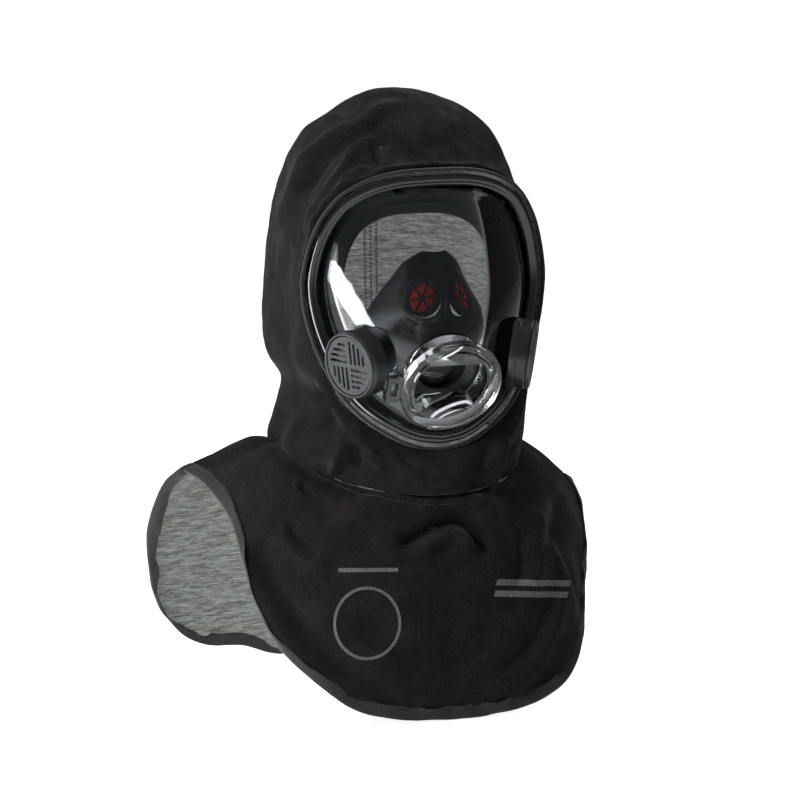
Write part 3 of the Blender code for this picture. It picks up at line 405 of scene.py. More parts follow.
def put(name, mesh, finish, body, replaces=None, sharp=60):
    """Place a mesh in the frame and tell the frame what it is; sharp is in degrees."""
    mesh.transform(Matrix.Translation(SHIFT))
    mesh.materials.clear()
    mesh.materials.append(finish)
    mesh.shade_smooth()
    mesh.set_sharp_from_angle(angle=math.radians(sharp))
    obj = link(name, mesh)
    bpy.context.view_layer.update()
    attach(obj, body)
    if replaces:
        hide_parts(replaces)
    return obj


def grid_faces(rows, columns, wrap=False, wrap_rows=False):
    index = np.arange(rows * columns).reshape(rows, columns)
    if wrap_rows:
        index = np.vstack([index, index[:1]])
    if wrap:
        index = np.hstack([index, index[:, :1]])
    return np.stack([index[:-1, :-1], index[:-1, 1:], index[1:, 1:], index[1:, :-1]],
                    -1).reshape(-1, 4)


def mesh_from(name, verts, faces):
    mesh = bpy.data.meshes.new(name)
    mesh.from_pydata([tuple(v) for v in verts], [], [tuple(int(k) for k in f) for f in faces])
    mesh.validate()
    mesh.update()
    return mesh


def closed_mesh(name, verts, faces):
    """Mesh with its faces turned outwards."""
    mesh = mesh_from(name, verts, faces)
    bm = bmesh.new()
    bm.from_mesh(mesh)
    bmesh.ops.recalc_face_normals(bm, faces=bm.faces[:])
    bm.to_mesh(mesh)
    bm.free()
    return mesh


def shell_mesh(name, top, bottom, wrap):
    """Closed body between two equal grids of points."""
    rows, columns, _ = top.shape
    upper = np.arange(rows * columns).reshape(rows, columns)
    lower = upper + rows * columns
    j = np.arange(columns if wrap else columns - 1)
    k = (j + 1) % columns
    skin = grid_faces(rows, columns, wrap)
    faces = [skin, skin[:, [0, 3, 2, 1]] + rows * columns,
             np.stack([upper[0, k], upper[0, j], lower[0, j], lower[0, k]], -1),
             np.stack([upper[-1, j], upper[-1, k], lower[-1, k], lower[-1, j]], -1)]
    if not wrap:
        i = np.arange(rows - 1)
        faces += [np.stack([upper[i, 0], upper[i + 1, 0], lower[i + 1, 0], lower[i, 0]], -1),
                  np.stack([upper[i + 1, -1], upper[i, -1], lower[i, -1], lower[i + 1, -1]], -1)]
    verts = np.concatenate([top.reshape(-1, 3), bottom.reshape(-1, 3)])
    return closed_mesh(name, verts, np.concatenate(faces))


def tube_mesh(name, rings, wrap):
    """Body swept through rings of points; wrap joins the last ring to the first."""
    rings = np.asarray(rings, float)
    count, size, _ = rings.shape
    faces = grid_faces(count, size, wrap=True, wrap_rows=wrap).tolist()
    if not wrap:
        faces.append(list(range(size)))
        faces.append(list(range(count * size - 1, (count - 1) * size - 1, -1)))
    return closed_mesh(name, rings.reshape(-1, 3), faces)


def turned_mesh(name, profile, basis, segments):
    """Profile of (radius, height) in mm turned about the basis' Z."""
    angle = 2 * np.pi * np.arange(segments) / segments
    radius, height = np.array(profile, float).T / 1000
    rings = np.stack([np.outer(np.cos(angle), radius), np.outer(np.sin(angle), radius),
                      np.tile(height, (segments, 1))], -1)
    mesh = tube_mesh(name, rings, True)
    mesh.transform(basis)
    return mesh


def cylinder(name, radius, low, high, basis, segments=72):
    """Cutting tool along the basis' Z, from low to high."""
    bm = bmesh.new()
    bmesh.ops.create_cone(bm, cap_ends=True, segments=segments, radius1=radius, radius2=radius,
                          depth=high - low, matrix=Matrix.Translation((0, 0, (low + high) / 2)))
    mesh = bpy.data.meshes.new(name)
    bm.to_mesh(mesh)
    bm.free()
    mesh.transform(basis)
    return link(name, mesh)


def carve(mesh, cutters):
    """Mesh with the cutters taken away."""
    blank = link("tmp_" + mesh.name, mesh)
    for cutter in cutters:
        cut = blank.modifiers.new("cut", 'BOOLEAN')
        cut.operation = 'DIFFERENCE'
        cut.solver = 'EXACT'
        cut.object = cutter
    bpy.context.view_layer.update()
    depsgraph = bpy.context.evaluated_depsgraph_get()
    out = bpy.data.meshes.new_from_object(blank.evaluated_get(depsgraph))
    bpy.data.objects.remove(blank, do_unlink=True)
    return out


def bevel(obj, width, angle=35.0):
    mod = obj.modifiers.new("edge_round", 'BEVEL')
    mod.width = width
    mod.segments = 2
    mod.limit_method = 'ANGLE'
    mod.angle_limit = math.radians(angle)
    mod.harden_normals = False


# (place along the stitch, share of its radius)
STITCH_RINGS = [(-0.5, 0.35), (-0.32, 0.9), (0.0, 1.0), (0.32, 0.9), (0.5, 0.35)]
STITCH_SIDES = 6


def stitches(name, path, normals, length=0.0022, pitch=0.0032, radius=0.00032, lean=0.0):
    """Row of rounded thread stitches along a path; lean turns each one, in radians."""
    lift = 0.0001
    steps = np.linalg.norm(np.diff(path, axis=0), axis=1)
    travelled = np.concatenate([[0], np.cumsum(steps)])

    def along(values, at):
        return np.array([np.interp(at, travelled, values[:, i]) for i in range(3)])

    rings = len(STITCH_RINGS)
    sides = grid_faces(rings, STITCH_SIDES, wrap=True)
    verts, faces = [], []
    for c in range(int(travelled[-1] / pitch)):
        middle = (c + 0.5) * pitch
        point = along(path, middle)
        normal = unit(along(normals, middle))
        run = unit(along(path, middle + 0.0004) - point)
        across = np.cross(normal, run)
        if lean:
            run = run * math.cos(lean) + across * math.sin(lean)
            across = np.cross(normal, run)
        base = len(verts)
        for t, share in STITCH_RINGS:
            at = point + run * (t * length) + normal * (lift - abs(t) * radius * 1.2)
            for e in range(STITCH_SIDES):
                a = 2 * math.pi * e / STITCH_SIDES
                verts.append(at + (across * math.cos(a) + normal * math.sin(a)) * radius * share)
        faces.extend((sides + base).tolist())
        faces.append([base + e for e in range(STITCH_SIDES - 1, -1, -1)])
        faces.append([base + (rings - 1) * STITCH_SIDES + e for e in range(STITCH_SIDES)])
    put(name, mesh_from(name, verts, faces), THREAD, "hood")


# ------------------------------------------------------------- folds
# Line of (right, up) points in the view plane, height (below zero a valley), half
# width, all in mm, and the share of the line over which each end fades.
FOLDS = [
    # crown and brow
    ([(4.98, 486.795), (-14.94, 475.175), (-31.54, 464.385), (-46.48, 456.085),
      (-61.42, 444.465), (-74.7, 434.505), (-83, 422.885), (-87.15, 411.265),
      (-94.62, 393.005), (-96.28, 354.825)], 5.0, 7.5, 0.16),
    ([(-1.66, 474.345), (-21.58, 463.555), (-39.84, 452.765), (-54.78, 441.145),
      (-66.4, 429.525), (-75.53, 414.585), (-79.68, 399.645)], -4.0, 5.0, 0.20),
    ([(-34.03, 448.615), (-38.18, 437.825), (-46.48, 422.885), (-54.78, 411.265),
      (-63.08, 399.645), (-69.72, 386.365), (-74.7, 369.765)], 4.2, 5.5, 0.18),
    ([(-21.58, 426.205), (-31.54, 422.885), (-39.84, 416.245), (-46.48, 406.285),
      (-51.46, 397.985), (-61.42, 388.025)], 3.2, 4.5, 0.20),
    ([(-26.56, 451.105), (-16.6, 448.615), (-6.64, 446.125)], -3.5, 3.4, 0.35),
    ([(-23.24, 447.785), (-20.75, 439.485), (-15.77, 429.525)], -4.2, 3.6, 0.30),
    ([(-24.9, 422.055), (-8.3, 423.715), (24.9, 426.205), (49.8, 426.205),
      (74.7, 422.885), (87.98, 417.075)], 1.8, 4.0, 0.10),
    ([(21.58, 484.305), (34.86, 467.705), (39.84, 449.445), (56.44, 434.505),
      (74.7, 422.885)], 1.4, 4.5, 0.25),
    ([(8.3, 484.305), (19.92, 469.365), (26.56, 452.765), (33.2, 439.485)], -1.2, 6.0, 0.3),
    ([(-53.12, 485.135), (-61.42, 479.325), (-69.72, 469.365)], 2.5, 5.0, 0.4),
    ([(-84.66, 454.425), (-94.62, 439.485), (-99.6, 424.545)], 2.5, 5.0, 0.4),
    ([(83, 446.125), (89.64, 429.525), (94.62, 412.925)], -1.6, 5.0, 0.3),
    # beside the mask
    ([(-79.68, 353.165), (-77.19, 329.925), (-74.7, 305.025), (-68.06, 278.465)],
     -3.2, 7.0, 0.25),
    ([(-96.28, 321.625), (-94.62, 288.425), (-91.3, 255.225), (-86.32, 230.325)],
     -1.8, 8.0, 0.3),
    ([(-68.06, 261.865), (-63.08, 243.605), (-53.12, 227.005), (-41.5, 215.385)],
     3.0, 6.0, 0.25),
    ([(-76.36, 246.925), (-64.74, 231.985), (-46.48, 213.725)], -4.0, 5.0, 0.25),
    ([(-94.62, 234.475), (-91.3, 218.705), (-86.32, 200.445)], -3.6, 5.5, 0.3),
    # neck
    ([(-41.5, 213.725), (-43.99, 197.125), (-51.46, 183.845), (-58.1, 177.205)],
     2.6, 3.6, 0.25),
    ([(-34.86, 205.425), (-33.2, 192.145), (-32.37, 180.525)], -2.6, 3.2, 0.25),
    ([(-23.24, 202.105), (-19.92, 188.825), (-8.3, 180.525)], 1.8, 4.0, 0.3),
    ([(0, 198.785), (12.45, 183.845), (33.2, 175.545)], -1.6, 5.0, 0.3),
    ([(87.15, 213.725), (81.34, 192.975), (74.7, 174.715), (65.57, 158.115)], 3.6, 5.0, 0.22),
    ([(96.28, 208.745), (90.47, 192.975), (83, 173.885), (76.36, 158.945)], -3.2, 4.2, 0.22),
    ([(73.04, 208.745), (69.72, 192.975), (61.42, 177.205)], -2.4, 4.2, 0.3),
    ([(-81.34, 172.225), (-76.36, 164.755), (-69.72, 157.285)], -3.0, 4.0, 0.3),
    ([(-107.9, 218.705), (-124.5, 205.425), (-145.25, 192.975), (-160.19, 181.355)],
     2.2, 6.0, 0.25),
    # big drape under the chin
    ([(-51.46, 135.705), (-39.84, 145.665), (-23.24, 153.135), (0, 158.115),
      (33.2, 158.945), (59.76, 153.965), (74.7, 142.345), (80.51, 125.745)], 5.5, 11.0, 0.20),
    ([(-3.32, 121.595), (11.62, 126.575), (27.39, 134.875), (43.16, 139.855),
      (56.44, 135.705), (66.4, 122.425), (71.38, 109.145)], -6.0, 5.5, 0.16),
    ([(6.64, 112.465), (19.92, 118.275), (31.54, 127.405), (43.16, 130.725),
      (53.12, 126.575), (59.76, 115.785)], 3.4, 5.0, 0.22),
    ([(-92.13, 143.175), (-83.83, 127.405), (-72.21, 117.445), (-59.76, 113.295)],
     -3.4, 5.0, 0.25),
    ([(-97.94, 130.725), (-86.32, 114.125), (-69.72, 104.165), (-49.8, 100.845)],
     2.4, 7.0, 0.3),
    ([(-117.03, 127.405), (-107.07, 101.675), (-93.79, 76.775), (-78.85, 56.025),
      (-58.1, 35.275), (-37.35, 16.185), (-19.09, 8.715)], -4.5, 8.0, 0.18),
    ([(-132.8, 122.425), (-122.84, 93.375), (-107.9, 67.645), (-89.64, 44.405),
      (-68.06, 22.825)], 3.0, 8.0, 0.25),
    ([(-83, 105.825), (-68.06, 77.605), (-48.14, 54.365), (-23.24, 34.445)], 2.2, 12.0, 0.3),
    # right of the view
    ([(92.96, 139.025), (97.94, 122.425), (98.77, 104.165), (94.62, 80.925)], -2.6, 6.0, 0.28),
    ([(132.8, 165.585), (129.48, 139.025), (124.5, 118.275)], -2.6, 6.0, 0.28),
    ([(114.54, 172.225), (114.54, 139.025), (111.22, 100.845), (106.24, 69.305)],
     2.2, 8.0, 0.3),
    ([(137.78, 105.825), (132.8, 72.625), (121.18, 39.425), (101.26, 11.205),
      (74.7, -5.395)], 2.6, 7.0, 0.22),
    ([(127.82, 109.145), (121.18, 72.625), (107.9, 42.745), (86.32, 19.505),
      (58.1, 4.565)], -2.4, 7.0, 0.25),
    # hem
    ([(-39.84, 7.885), (-28.22, 1.245), (-13.28, -5.395)], 2.0, 3.6, 0.3),
    ([(-6.64, 1.245), (9.96, -7.055), (26.56, -9.545)], 1.8, 3.6, 0.3),
    ([(33.2, 39.425), (46.48, 19.505), (51.46, -2.075)], -1.6, 8.0, 0.3),
    ([(0, 72.625), (24.9, 39.425), (38.18, 14.525)], 1.4, 12.0, 0.3),
]
FOLD_GAIN = 1.8


def fold_push(points, normals):
    """Distance in metres to push each point along its normal."""
    view = np.stack([points * 1000.0 @ VIEW_RIGHT, points * 1000.0 @ VIEW_UP], -1)
    facing = smoothstep(0.05, 0.45, normals @ TO_CAMERA)
    push = np.zeros(points.shape[:-1])
    for line, height, half_width, fade in FOLDS:
        path = spread(line, 8 * len(line))
        steps = np.linalg.norm(np.diff(path, axis=0), axis=1)
        travelled = np.concatenate([[0], np.cumsum(steps)])
        nearest = np.full(points.shape[:-1], 1e9)
        along = np.zeros(points.shape[:-1])
        for k, start in enumerate(path[:-1]):
            run = path[k + 1] - start
            t = np.clip(((view - start) @ run) / max(run @ run, 1e-9), 0, 1)
            gap = np.linalg.norm(view - (start + t[..., None] * run), axis=-1)
            nearer = gap < nearest
            nearest = np.where(nearer, gap, nearest)
            along = np.where(nearer, (travelled[k] + t * steps[k]) / travelled[-1], along)
        ends = smoothstep(-0.02, fade, along) * smoothstep(1.02, 1 - fade, along)
        push += height * bell(nearest, 0, half_width) * ends
    return push * facing * FOLD_GAIN / 1000.0


# ------------------------------------------------------------- mask outline
# Half outline of the face opening from top to bottom: (x, z)
HALF_OUTLINE = [
    (0, 441), (28, 440), (48, 436), (64, 429), (78, 418), (90, 399), (97, 378), (101, 352),
    (98, 325), (91, 300), (82, 279), (73, 263), (60, 248), (40, 234), (20, 225), (0, 222)]
# Depth of the rim and of the visor's centre line: (z, y)
RIM_CURVE = spread([
    (222, -93), (226, -91), (234, -87), (248, -79), (263, -71), (279, -64), (300, -58),
    (325, -53), (352, -51), (378, -53), (399, -57), (418, -63), (430, -69), (441, -76)], 240)
VISOR_CURVE = spread([
    (218, -86), (232, -92), (250, -101), (272, -112), (290, -118), (310, -119), (340, -115),
    (370, -107), (400, -97), (432, -84), (445, -77)], 240)
WIDTH_CURVE = np.array([tuple(v) for v in resample(HALF_OUTLINE, 300)])[::-1]
OUTLINE_TOP = 0.441
OUTLINE_BOTTOM = 0.222
MID_Z = 0.335


def outline(count):
    """Points round the opening as (x, z, outward x, outward z), from the top over +X."""
    half = resample(metres(HALF_OUTLINE), count // 2)
    points = [Vector((p[0], p[1])) for p in half]
    points += [Vector((-p[0], p[1])) for p in reversed(half[1:-1])]
    out = []
    for k, p in enumerate(points):
        run = (points[(k + 1) % len(points)] - points[k - 1]).normalized()
        nx, nz = -run.y, run.x
        if nx * p.x + nz * (p.y - MID_Z) < 0:
            nx, nz = -nx, -nz
        out.append((p.x, p.y, nx, nz))
    return out


def depth_on(curve, z):
    return float(np.interp(z * 1000, curve[:, 0], curve[:, 1])) / 1000


def rim_y(z):
    return depth_on(RIM_CURVE, z)


def visor_y(x, z):
    """Depth of the dome: each level is an ellipse from the centre line to the rim."""
    back = -0.033
    half_width = float(np.interp(z * 1000, WIDTH_CURVE[:, 1], WIDTH_CURVE[:, 0])) / 1000
    half_width = max(half_width - 0.0095, 0.030)
    reach = depth_on(VISOR_CURVE, z) - back
    q = min(max((rim_y(z) - back) / reach, 0.05), 0.93)
    axis = min(half_width / math.sqrt(1 - q * q), 0.104)
    return back + reach * math.sqrt(max(1 - (x / axis) ** 2, 0.02))


# ------------------------------------------------------------- hood
# Loops from the face opening back over the head and down to the neck:
# top (y, z), bottom (y, z), half width
LOOPS = [
    ((-82, 446), (-96, 217), 104.8), ((-52, 474), (-104, 214), 105.5),
    ((-20, 494), (-109, 210), 105.5), ((15, 504), (-111, 207), 105.0),
    ((58, 498), (-112, 204), 105.0), ((98, 474), (-112, 201), 106.0),
    ((126, 432), (-112, 198), 106.0), ((139, 385), (-111, 195), 105.5),
    ((139, 335), (-110, 192), 104.5), ((128, 288), (-109, 189), 102.0),
    ((108, 252), (-108, 186), 98.5), ((88, 226), (-108, 183), 95.0)]
# Both tables start from the cosine of the angle round the loop, 1 at its top.
# Share by which the first loops run evenly back from the opening
EVEN = [(-1.0, 0.0), (-0.96, 0.25), (-0.84, 0.7), (-0.65, 1.0), (-0.42, 1.0), (-0.14, 0.85),
        (0.14, 0.35), (0.42, 0.0), (1.0, 0.0)]
# Step in y per loop, back over the brow and forward under the chin
REARWARD = [(-1.0, -5.5), (-0.8, -3.5), (-0.5, 1.0), (-0.2, 7.0), (0.2, 13.0), (0.6, 14.0),
            (1.0, 14.0)]
CAGE_HALF = 70
HOOD_ROWS = 170
HOOD_COLUMNS = 280
CLOTH = 0.0019
LINING_GAP = 0.0024
LINING_CLOTH = 0.0009


def loop_point(i, angle):
    """Point on loop i; the angle runs from the top over +X."""
    (top_y, top_z), (low_y, low_z), half_width = LOOPS[i]
    s = math.sin(angle)
    f = 0.5 + 0.5 * math.cos(angle)
    power = 0.88 + 0.12 * max(i - len(LOOPS) + 4, 0) / 3
    ny, nz = (top_z - low_z), -(top_y - low_y)
    length = math.hypot(ny, nz)
    bow = 38.0 * max(0.0, 1 - i / 6.0) ** 1.5 * s * s
    return mm(half_width * signed_power(s, power),
              low_y + (top_y - low_y) * f + bow * ny / length,
              low_z + (top_z - low_z) * f + bow * nz / length)


def hood_cage():
    clearance = 0.0059
    count = 2 * CAGE_HALF
    ring = outline(count)
    cage = [[loop_point(i, math.pi * j / CAGE_HALF) for j in range(count)]
            for i in range(len(LOOPS))]
    for j, (x, z, nx, nz) in enumerate(ring):
        height = math.cos(math.pi * j / CAGE_HALF)
        rear = table(REARWARD, height) / 1000
        # the first loops follow the mask's rim
        for i, share in enumerate((0.0, 0.45, 0.85)):
            rim = Vector((x + nx * clearance, rim_y(z) - 0.002 + rear * i, z + nz * clearance))
            cage[i][j] = rim.lerp(cage[i][j], share)
        for i in range(1, 5):
            even = cage[0][j].lerp(cage[5][j], i / 5)
            cage[i][j] = cage[i][j].lerp(even, table(EVEN, height))
    return np.array([[tuple(p) for p in row] for row in cage])


def hood_push(grid, normals):
    edge = np.arange(HOOD_ROWS)[:, None] / (HOOD_ROWS - 1.0)
    push = fold_push(grid, normals)
    push += ((0.0009 * noise_at(grid, 24.0, 3.0, 3) + 0.0034 * noise_at(grid, 9.0, 21.0, 2))
             * (1 - bell(edge, 0, 0.07) * 0.85))
    push += 0.0004 * noise_at(grid, 70.0, 9.0, 2)
    # small gathers where the elastic pulls the cloth in
    angle = 2 * np.pi * np.arange(HOOD_COLUMNS) / HOOD_COLUMNS
    gather = (np.sin(angle * 46 + 2.2 * np.sin(angle * 5))
              * (0.55 + 0.45 * np.sin(angle * 9 + 1.0)))
    push += 0.0006 * gather[None, :] * bell(edge, 0.035, 0.03)
    # broad fullness and hollows, by place
    x, z = grid[..., 0], grid[..., 2]
    push -= 0.0020 * smoothstep(0.055, 0.095, x) * bell(z, 0.350, 0.060)
    push += 0.0050 * smoothstep(0.040, 0.080, x) * bell(z, 0.465, 0.022)
    push -= 0.0095 * smoothstep(-0.060, -0.095, x) * bell(z, 0.260, 0.016)
    push += 0.0140 * smoothstep(-0.050, -0.090, x) * bell(z, 0.219, 0.015)
    push -= 0.0035 * smoothstep(0.478, 0.500, z)
    push -= 0.0060 * bell(x, -0.052, 0.026) * smoothstep(0.460, 0.485, z)
    # quiet at the opening and at the neck
    push *= smoothstep(-0.004, 0.012, edge)
    return push * (0.35 + 0.65 * smoothstep(1.0, 0.965, edge))


HOOD_CAGE = hood_cage()
hood_base = refine(HOOD_CAGE, HOOD_ROWS, HOOD_COLUMNS, True)
HEAD_CENTRE = np.array([0.0, 0.010, 0.330])
hood_in = -normals_of(hood_base, True, hood_base - HEAD_CENTRE)
hood_top = hood_base - hood_in * hood_push(hood_base, -hood_in)[..., None]
hood_normals = normals_of(hood_top, True, -hood_in)
put("hood_fleece", shell_mesh("hood_fleece", hood_top, hood_top + hood_in * CLOTH, True),
    FLEECE, "hood", "hood_panel")


def lining(name, outer, inward, wrap, replaces):
    """Half-resolution lining inside a cloth grid."""
    put(name, shell_mesh(name, outer[::2, ::2], (outer + inward * LINING_CLOTH)[::2, ::2], wrap),
        LINING, "hood", replaces)


hood_inner = hood_top + hood_in * LINING_GAP
lining("hood_heather_lining", hood_inner, hood_in, True, "hood_lining")


def opening_elastic():
    """Rounded band that follows the edge of the hood round the mask."""
    count = 240
    angles = [2 * math.pi * k / 18 for k in range(18)]
    section = [(-0.0018 + 0.0015 * signed_power(math.cos(a), 0.75),
                0.0029 + 0.0023 * signed_power(math.sin(a), 0.75)) for a in angles]
    edge = spread(HOOD_CAGE[0], count, True)
    rings = []
    for k, (_, _, nx, nz) in enumerate(outline(count)):
        swell = 1 + 0.05 * math.sin(k * 1.9) + 0.04 * math.sin(k * 0.7)
        c = edge[k]
        rings.append([(c[0] + nx * a * swell, c[1] - b * swell, c[2] + nz * a * swell)
                      for a, b in section])
    put("face_opening_elastic", tube_mesh("face_opening_elastic", rings, True), TAPE, "hood",
        "face_opening_band", sharp=80)


opening_elastic()

# ------------------------------------------------------------- bib
# Free edges from each shoulder seam to the centre plane: (x, y, z)
HEM_LIFT = 0.0032
FRONT_RIGHT = [
    (-182, 20, 190), (-171, 0, 183), (-163, -32, 166), (-161, -58, 145), (-159, -75, 113),
    (-148, -92, 74), (-130, -106, 49), (-106, -120, 27), (-84, -128, 12), (-58, -133, 4.5),
    (-30, -135.5, 1.0), (0, -136, 0.0)]
FRONT_LEFT = [
    (158, 16, 160), (153, -20, 148), (148, -38, 135), (142, -60, 114), (133, -79, 90),
    (127, -93, 66), (119, -106, 45), (104, -118, 24), (84, -126, 11.5), (58, -132, 4.5),
    (30, -135.5, 1.0), (0, -136, 0.0)]
BACK_RIGHT = [
    (-182, 20, 190), (-190, 44, 173), (-193, 65, 149), (-192, 86, 121), (-188, 96, 93),
    (-178, 107, 58), (-156, 117, 32), (-129, 127, 18), (-96, 134, 14), (-68, 136, 4.5),
    (-40, 136.5, 0.0), (0, 137, 0.0)]
BACK_LEFT = [
    (158, 16, 160), (169, 40, 150), (175, 62, 134), (175, 84, 108), (170, 98, 80),
    (156, 111, 52), (137, 121, 32), (114, 129, 15), (90, 134, 4.5), (66, 135.5, 0.0),
    (36, 136.5, 0.0), (0, 137, 0.0)]
# How far the cloth stands out, from the centre plane (0) to the shoulder seam (1)
BIB_SWELL = [(0, 4.0), (0.45, 15.0), (0.8, 12.0), (1.0, 3.0)]
# Section of the tape folded round the hem: (outward past the edge, along the normal)
TAPE_SECTION = np.array([
    (-8.5, 1.0), (-7.0, 1.5), (-4.0, 1.6), (-1.0, 1.9), (1.2, 1.8), (2.6, 0.8), (3.0, -1.6),
    (2.6, -4.0), (1.2, -5.0), (-1.0, -5.1), (-4.0, -4.8), (-7.0, -4.7), (-8.5, -4.2),
    (-8.5, -3.5), (-4.0, -3.7), (0.4, -3.6), (0.8, -1.6), (0.4, 0.3), (-4.0, 0.4),
    (-8.5, 0.3)]) / 1000


def bib_cage(right_edge, left_edge, front):
    """Eight rows from behind the neck seam to the free edge, from the right to the left."""
    edge = resample(metres(right_edge), 30)
    edge += reversed(resample(metres(left_edge), 30)[:-1])
    seam_normal = Vector((0.0, -0.10, 1.0)).normalized()
    quarter = math.pi / 2
    columns = []
    for k, end in enumerate(edge):
        f = k / (len(edge) - 1)
        start = loop_point(len(LOOPS) - 1,
                           math.pi + quarter * (1 - 2 * f) if front
                           else -quarter + 2 * quarter * f) + mm(0, 0, -1.4)
        end.z = max(end.z, 0.0) + HEM_LIFT
        aside = abs(2 * f - 1)
        swell = table(BIB_SWELL, aside) / 1000
        if f < 0.5:
            swell += 0.013 * float(smoothstep(0.55, 0.95, aside))
        out = Vector((end.x * 0.8, end.y * 1.2, 0.10 if aside < 0.5 else 0.12 + 0.2 * aside))
        out = out.normalized().lerp(seam_normal, float(smoothstep(0.86, 0.96, aside)))
        out.normalize()
        lean = 0.65 if f < 0.5 and aside > 0.6 else 1.0
        column = []
        for r in range(6):
            t = (r / 5) ** lean
            column.append(start.lerp(end, r / 5) + out * (swell * 4 * t * (1 - t)))
        # the cloth hangs straight down where the hem meets the floor
        fall = (column[-1] - column[-2]).normalized()
        level = 0.0
        if column[-1].z < HEM_LIFT + 0.0008:
            level = float(smoothstep(0.080, 0.070, abs(column[-1].x)))
        fall = fall.lerp(Vector((0, 0, -1)), level).normalized()
        column[-2] = column[-1] - fall * 0.0125
        # the first rows turn up behind the lower edge of the hood
        inward = Vector((-start.x, -0.010 - start.y, 0)).normalized()
        column = [start + inward * 0.0050 + Vector((0, 0, 0.0050)),
                  start + inward * 0.0042 + Vector((0, 0, 0.0006)),
                  column[0] + inward * 0.0012] + column[1:]
        part = Vector((0, (-0.0001 if front else 0.0001) if aside > 0.97 else 0, 0))
        columns.append([tuple(p + part) for p in column])
    return np.swapaxes(np.array(columns), 0, 1)


def bib(word, right_edge, left_edge):
    """One bib with its lining, hem tape and stitches; returns its grid and normals."""
    front = word == "front"
    base = refine(bib_cage(right_edge, left_edge, front), 110, 240)
    n = normals_of(base, False, base * np.array([0.6, 1.0, 0.3]))
    row = np.clip((np.linspace(0, 1, base.shape[0]) - 2 / 7) / (5 / 7), 0, 1)[:, None]
    col = np.linspace(-1, 1, base.shape[1])[None, :]
    push = fold_push(base, n) if front else np.zeros(base.shape[:2])
    push += (0.0040 * noise_at(base, 11.0, 5.0 if front else 17.0, 3)
             + 0.0006 * noise_at(base, 45.0, 2.0, 2))
    # gathers under the neck seam and along the hem
    push += 0.0011 * np.sin(col * 34 + 3 * np.sin(col * 7)) * bell(row, 0.03, 0.05)
    push += 0.0008 * np.sin(col * 52 + 2.5 * np.sin(col * 11)) * bell(row, 0.93, 0.05)
    push *= (smoothstep(0.0, 0.07, row) * smoothstep(1.004, 0.90, row)
             * smoothstep(1.0, 0.97, np.abs(col)))
    # the seam allowance stands up just under the neck seam
    top = base + n * push[..., None] + n * (0.0012 * bell(row, 0.030, 0.014))[..., None]
    name = f"bib_{word}_fleece"
    put(name, shell_mesh(name, top, top - n * CLOTH, False), FLEECE, "hood",
        f"bib_{word}_panel")
    lining(f"bib_{word}_heather", top - n * LINING_GAP, -n, False, f"bib_{word}_lining")

    edge, edge_n = top[-1], n[-1]
    out = unit(top[-1] - top[-4])
    rings = []
    for k in range(1, len(edge) - 1):
        swell = 1 + 0.04 * math.sin(k * 0.9) + 0.03 * math.sin(k * 2.3)
        rings.append([edge[k] + out[k] * a + edge_n[k] * (b * swell) for a, b in TAPE_SECTION])
    name = f"{word}_hem_tape"
    put(name, tube_mesh(name, rings, False), TAPE, "hood", f"{word}_hem_binding")
    for tag, inset in (("a", 0.0070), ("b", 0.0052)):
        path = edge - out * inset + edge_n * 0.0016
        stitches(f"{word}_hem_stitches_{tag}", path[2:-2], edge_n[2:-2])
    return top, n


front_top, front_normals = bib("front", FRONT_RIGHT, FRONT_LEFT)
back_top, back_normals = bib("back", BACK_RIGHT, BACK_LEFT)


def shoulder_piping(word, column):
    """Piping along the seam where the front and back bibs meet."""
    line = (0.5 * (front_top[:, column] + back_top[:, column]))[20:-1]
    normals = unit(front_normals[:, column] + back_normals[:, column])[20:-1]
    angles = [2 * math.pi * q / 12 for q in range(12)]
    rings = []
    for i, (point, n) in enumerate(zip(line, normals)):
        run = unit(line[min(i + 1, len(line) - 1)] - line[max(i - 1, 0)])
        side = unit(np.cross(run, n))
        swell = 1 + 0.06 * math.sin(i * 1.7)
        rings.append([point - n * 0.0010 + side * (0.0017 * swell * math.cos(a))
                      + n * (0.0016 * swell * math.sin(a)) for a in angles])
    name = "shoulder_seam_" + word
    put(name, tube_mesh(name, rings, False), FLEECE, "hood")


shoulder_piping("right", 0)
shoulder_piping("left", -1)

# ------------------------------------------------------------- facepiece
PORT_RADIUS = 0.0430
PORT_FLAT = 0.0220          # half distance across the bore's two flats
PORT = axis_frame(Vector((0.0, -0.123, 0.272)), Vector((0.0, -0.891, -0.454)).normalized())
VOICE_CENTRE = Vector((0.079, -0.098, 0.291))
VOICE_NORMAL = Vector((0.900, -0.410, -0.145)).normalized()
VOICE_RADIUS = 0.0285
VALVE_CENTRE = Vector((0.0170, -0.0985, 0.343))
VALVE_NORMAL = Vector((0.689, -0.620, 0.375)).normalized()
VALVE_RADIUS = 0.0150
CUT_GAP = 0.0003
VOICE_FRAMES = {word: axis_frame(on_side(VOICE_CENTRE, side), on_side(VOICE_NORMAL, side))
                for word, side in SIDES}
VALVE_FRAMES = {word: axis_frame(on_side(VALVE_CENTRE, side), on_side(VALVE_NORMAL, side))
                for word, side in SIDES}

RING_COUNT = 152
RING = outline(RING_COUNT)
FORWARD = (0, -1, 0)

voice_cutters = [cylinder("tool_voice_" + word, VOICE_RADIUS + CUT_GAP, -0.030, 0.012, basis)
                 for word, basis in VOICE_FRAMES.items()]
port_cutter = cylinder("tool_port", 0.0364, -0.045, 0.020, PORT)
relief_cutter = cylinder("tool_relief", PORT_RADIUS + 0.0005, -0.0078, 0.020, PORT)
cup_cutters = [cylinder("tool_duct", 0.0160, -0.060, -0.0290, PORT)]
cup_cutters += [cylinder("tool_valve_" + word, VALVE_RADIUS + CUT_GAP, -0.012, 0.012, basis)
                for word, basis in VALVE_FRAMES.items()]


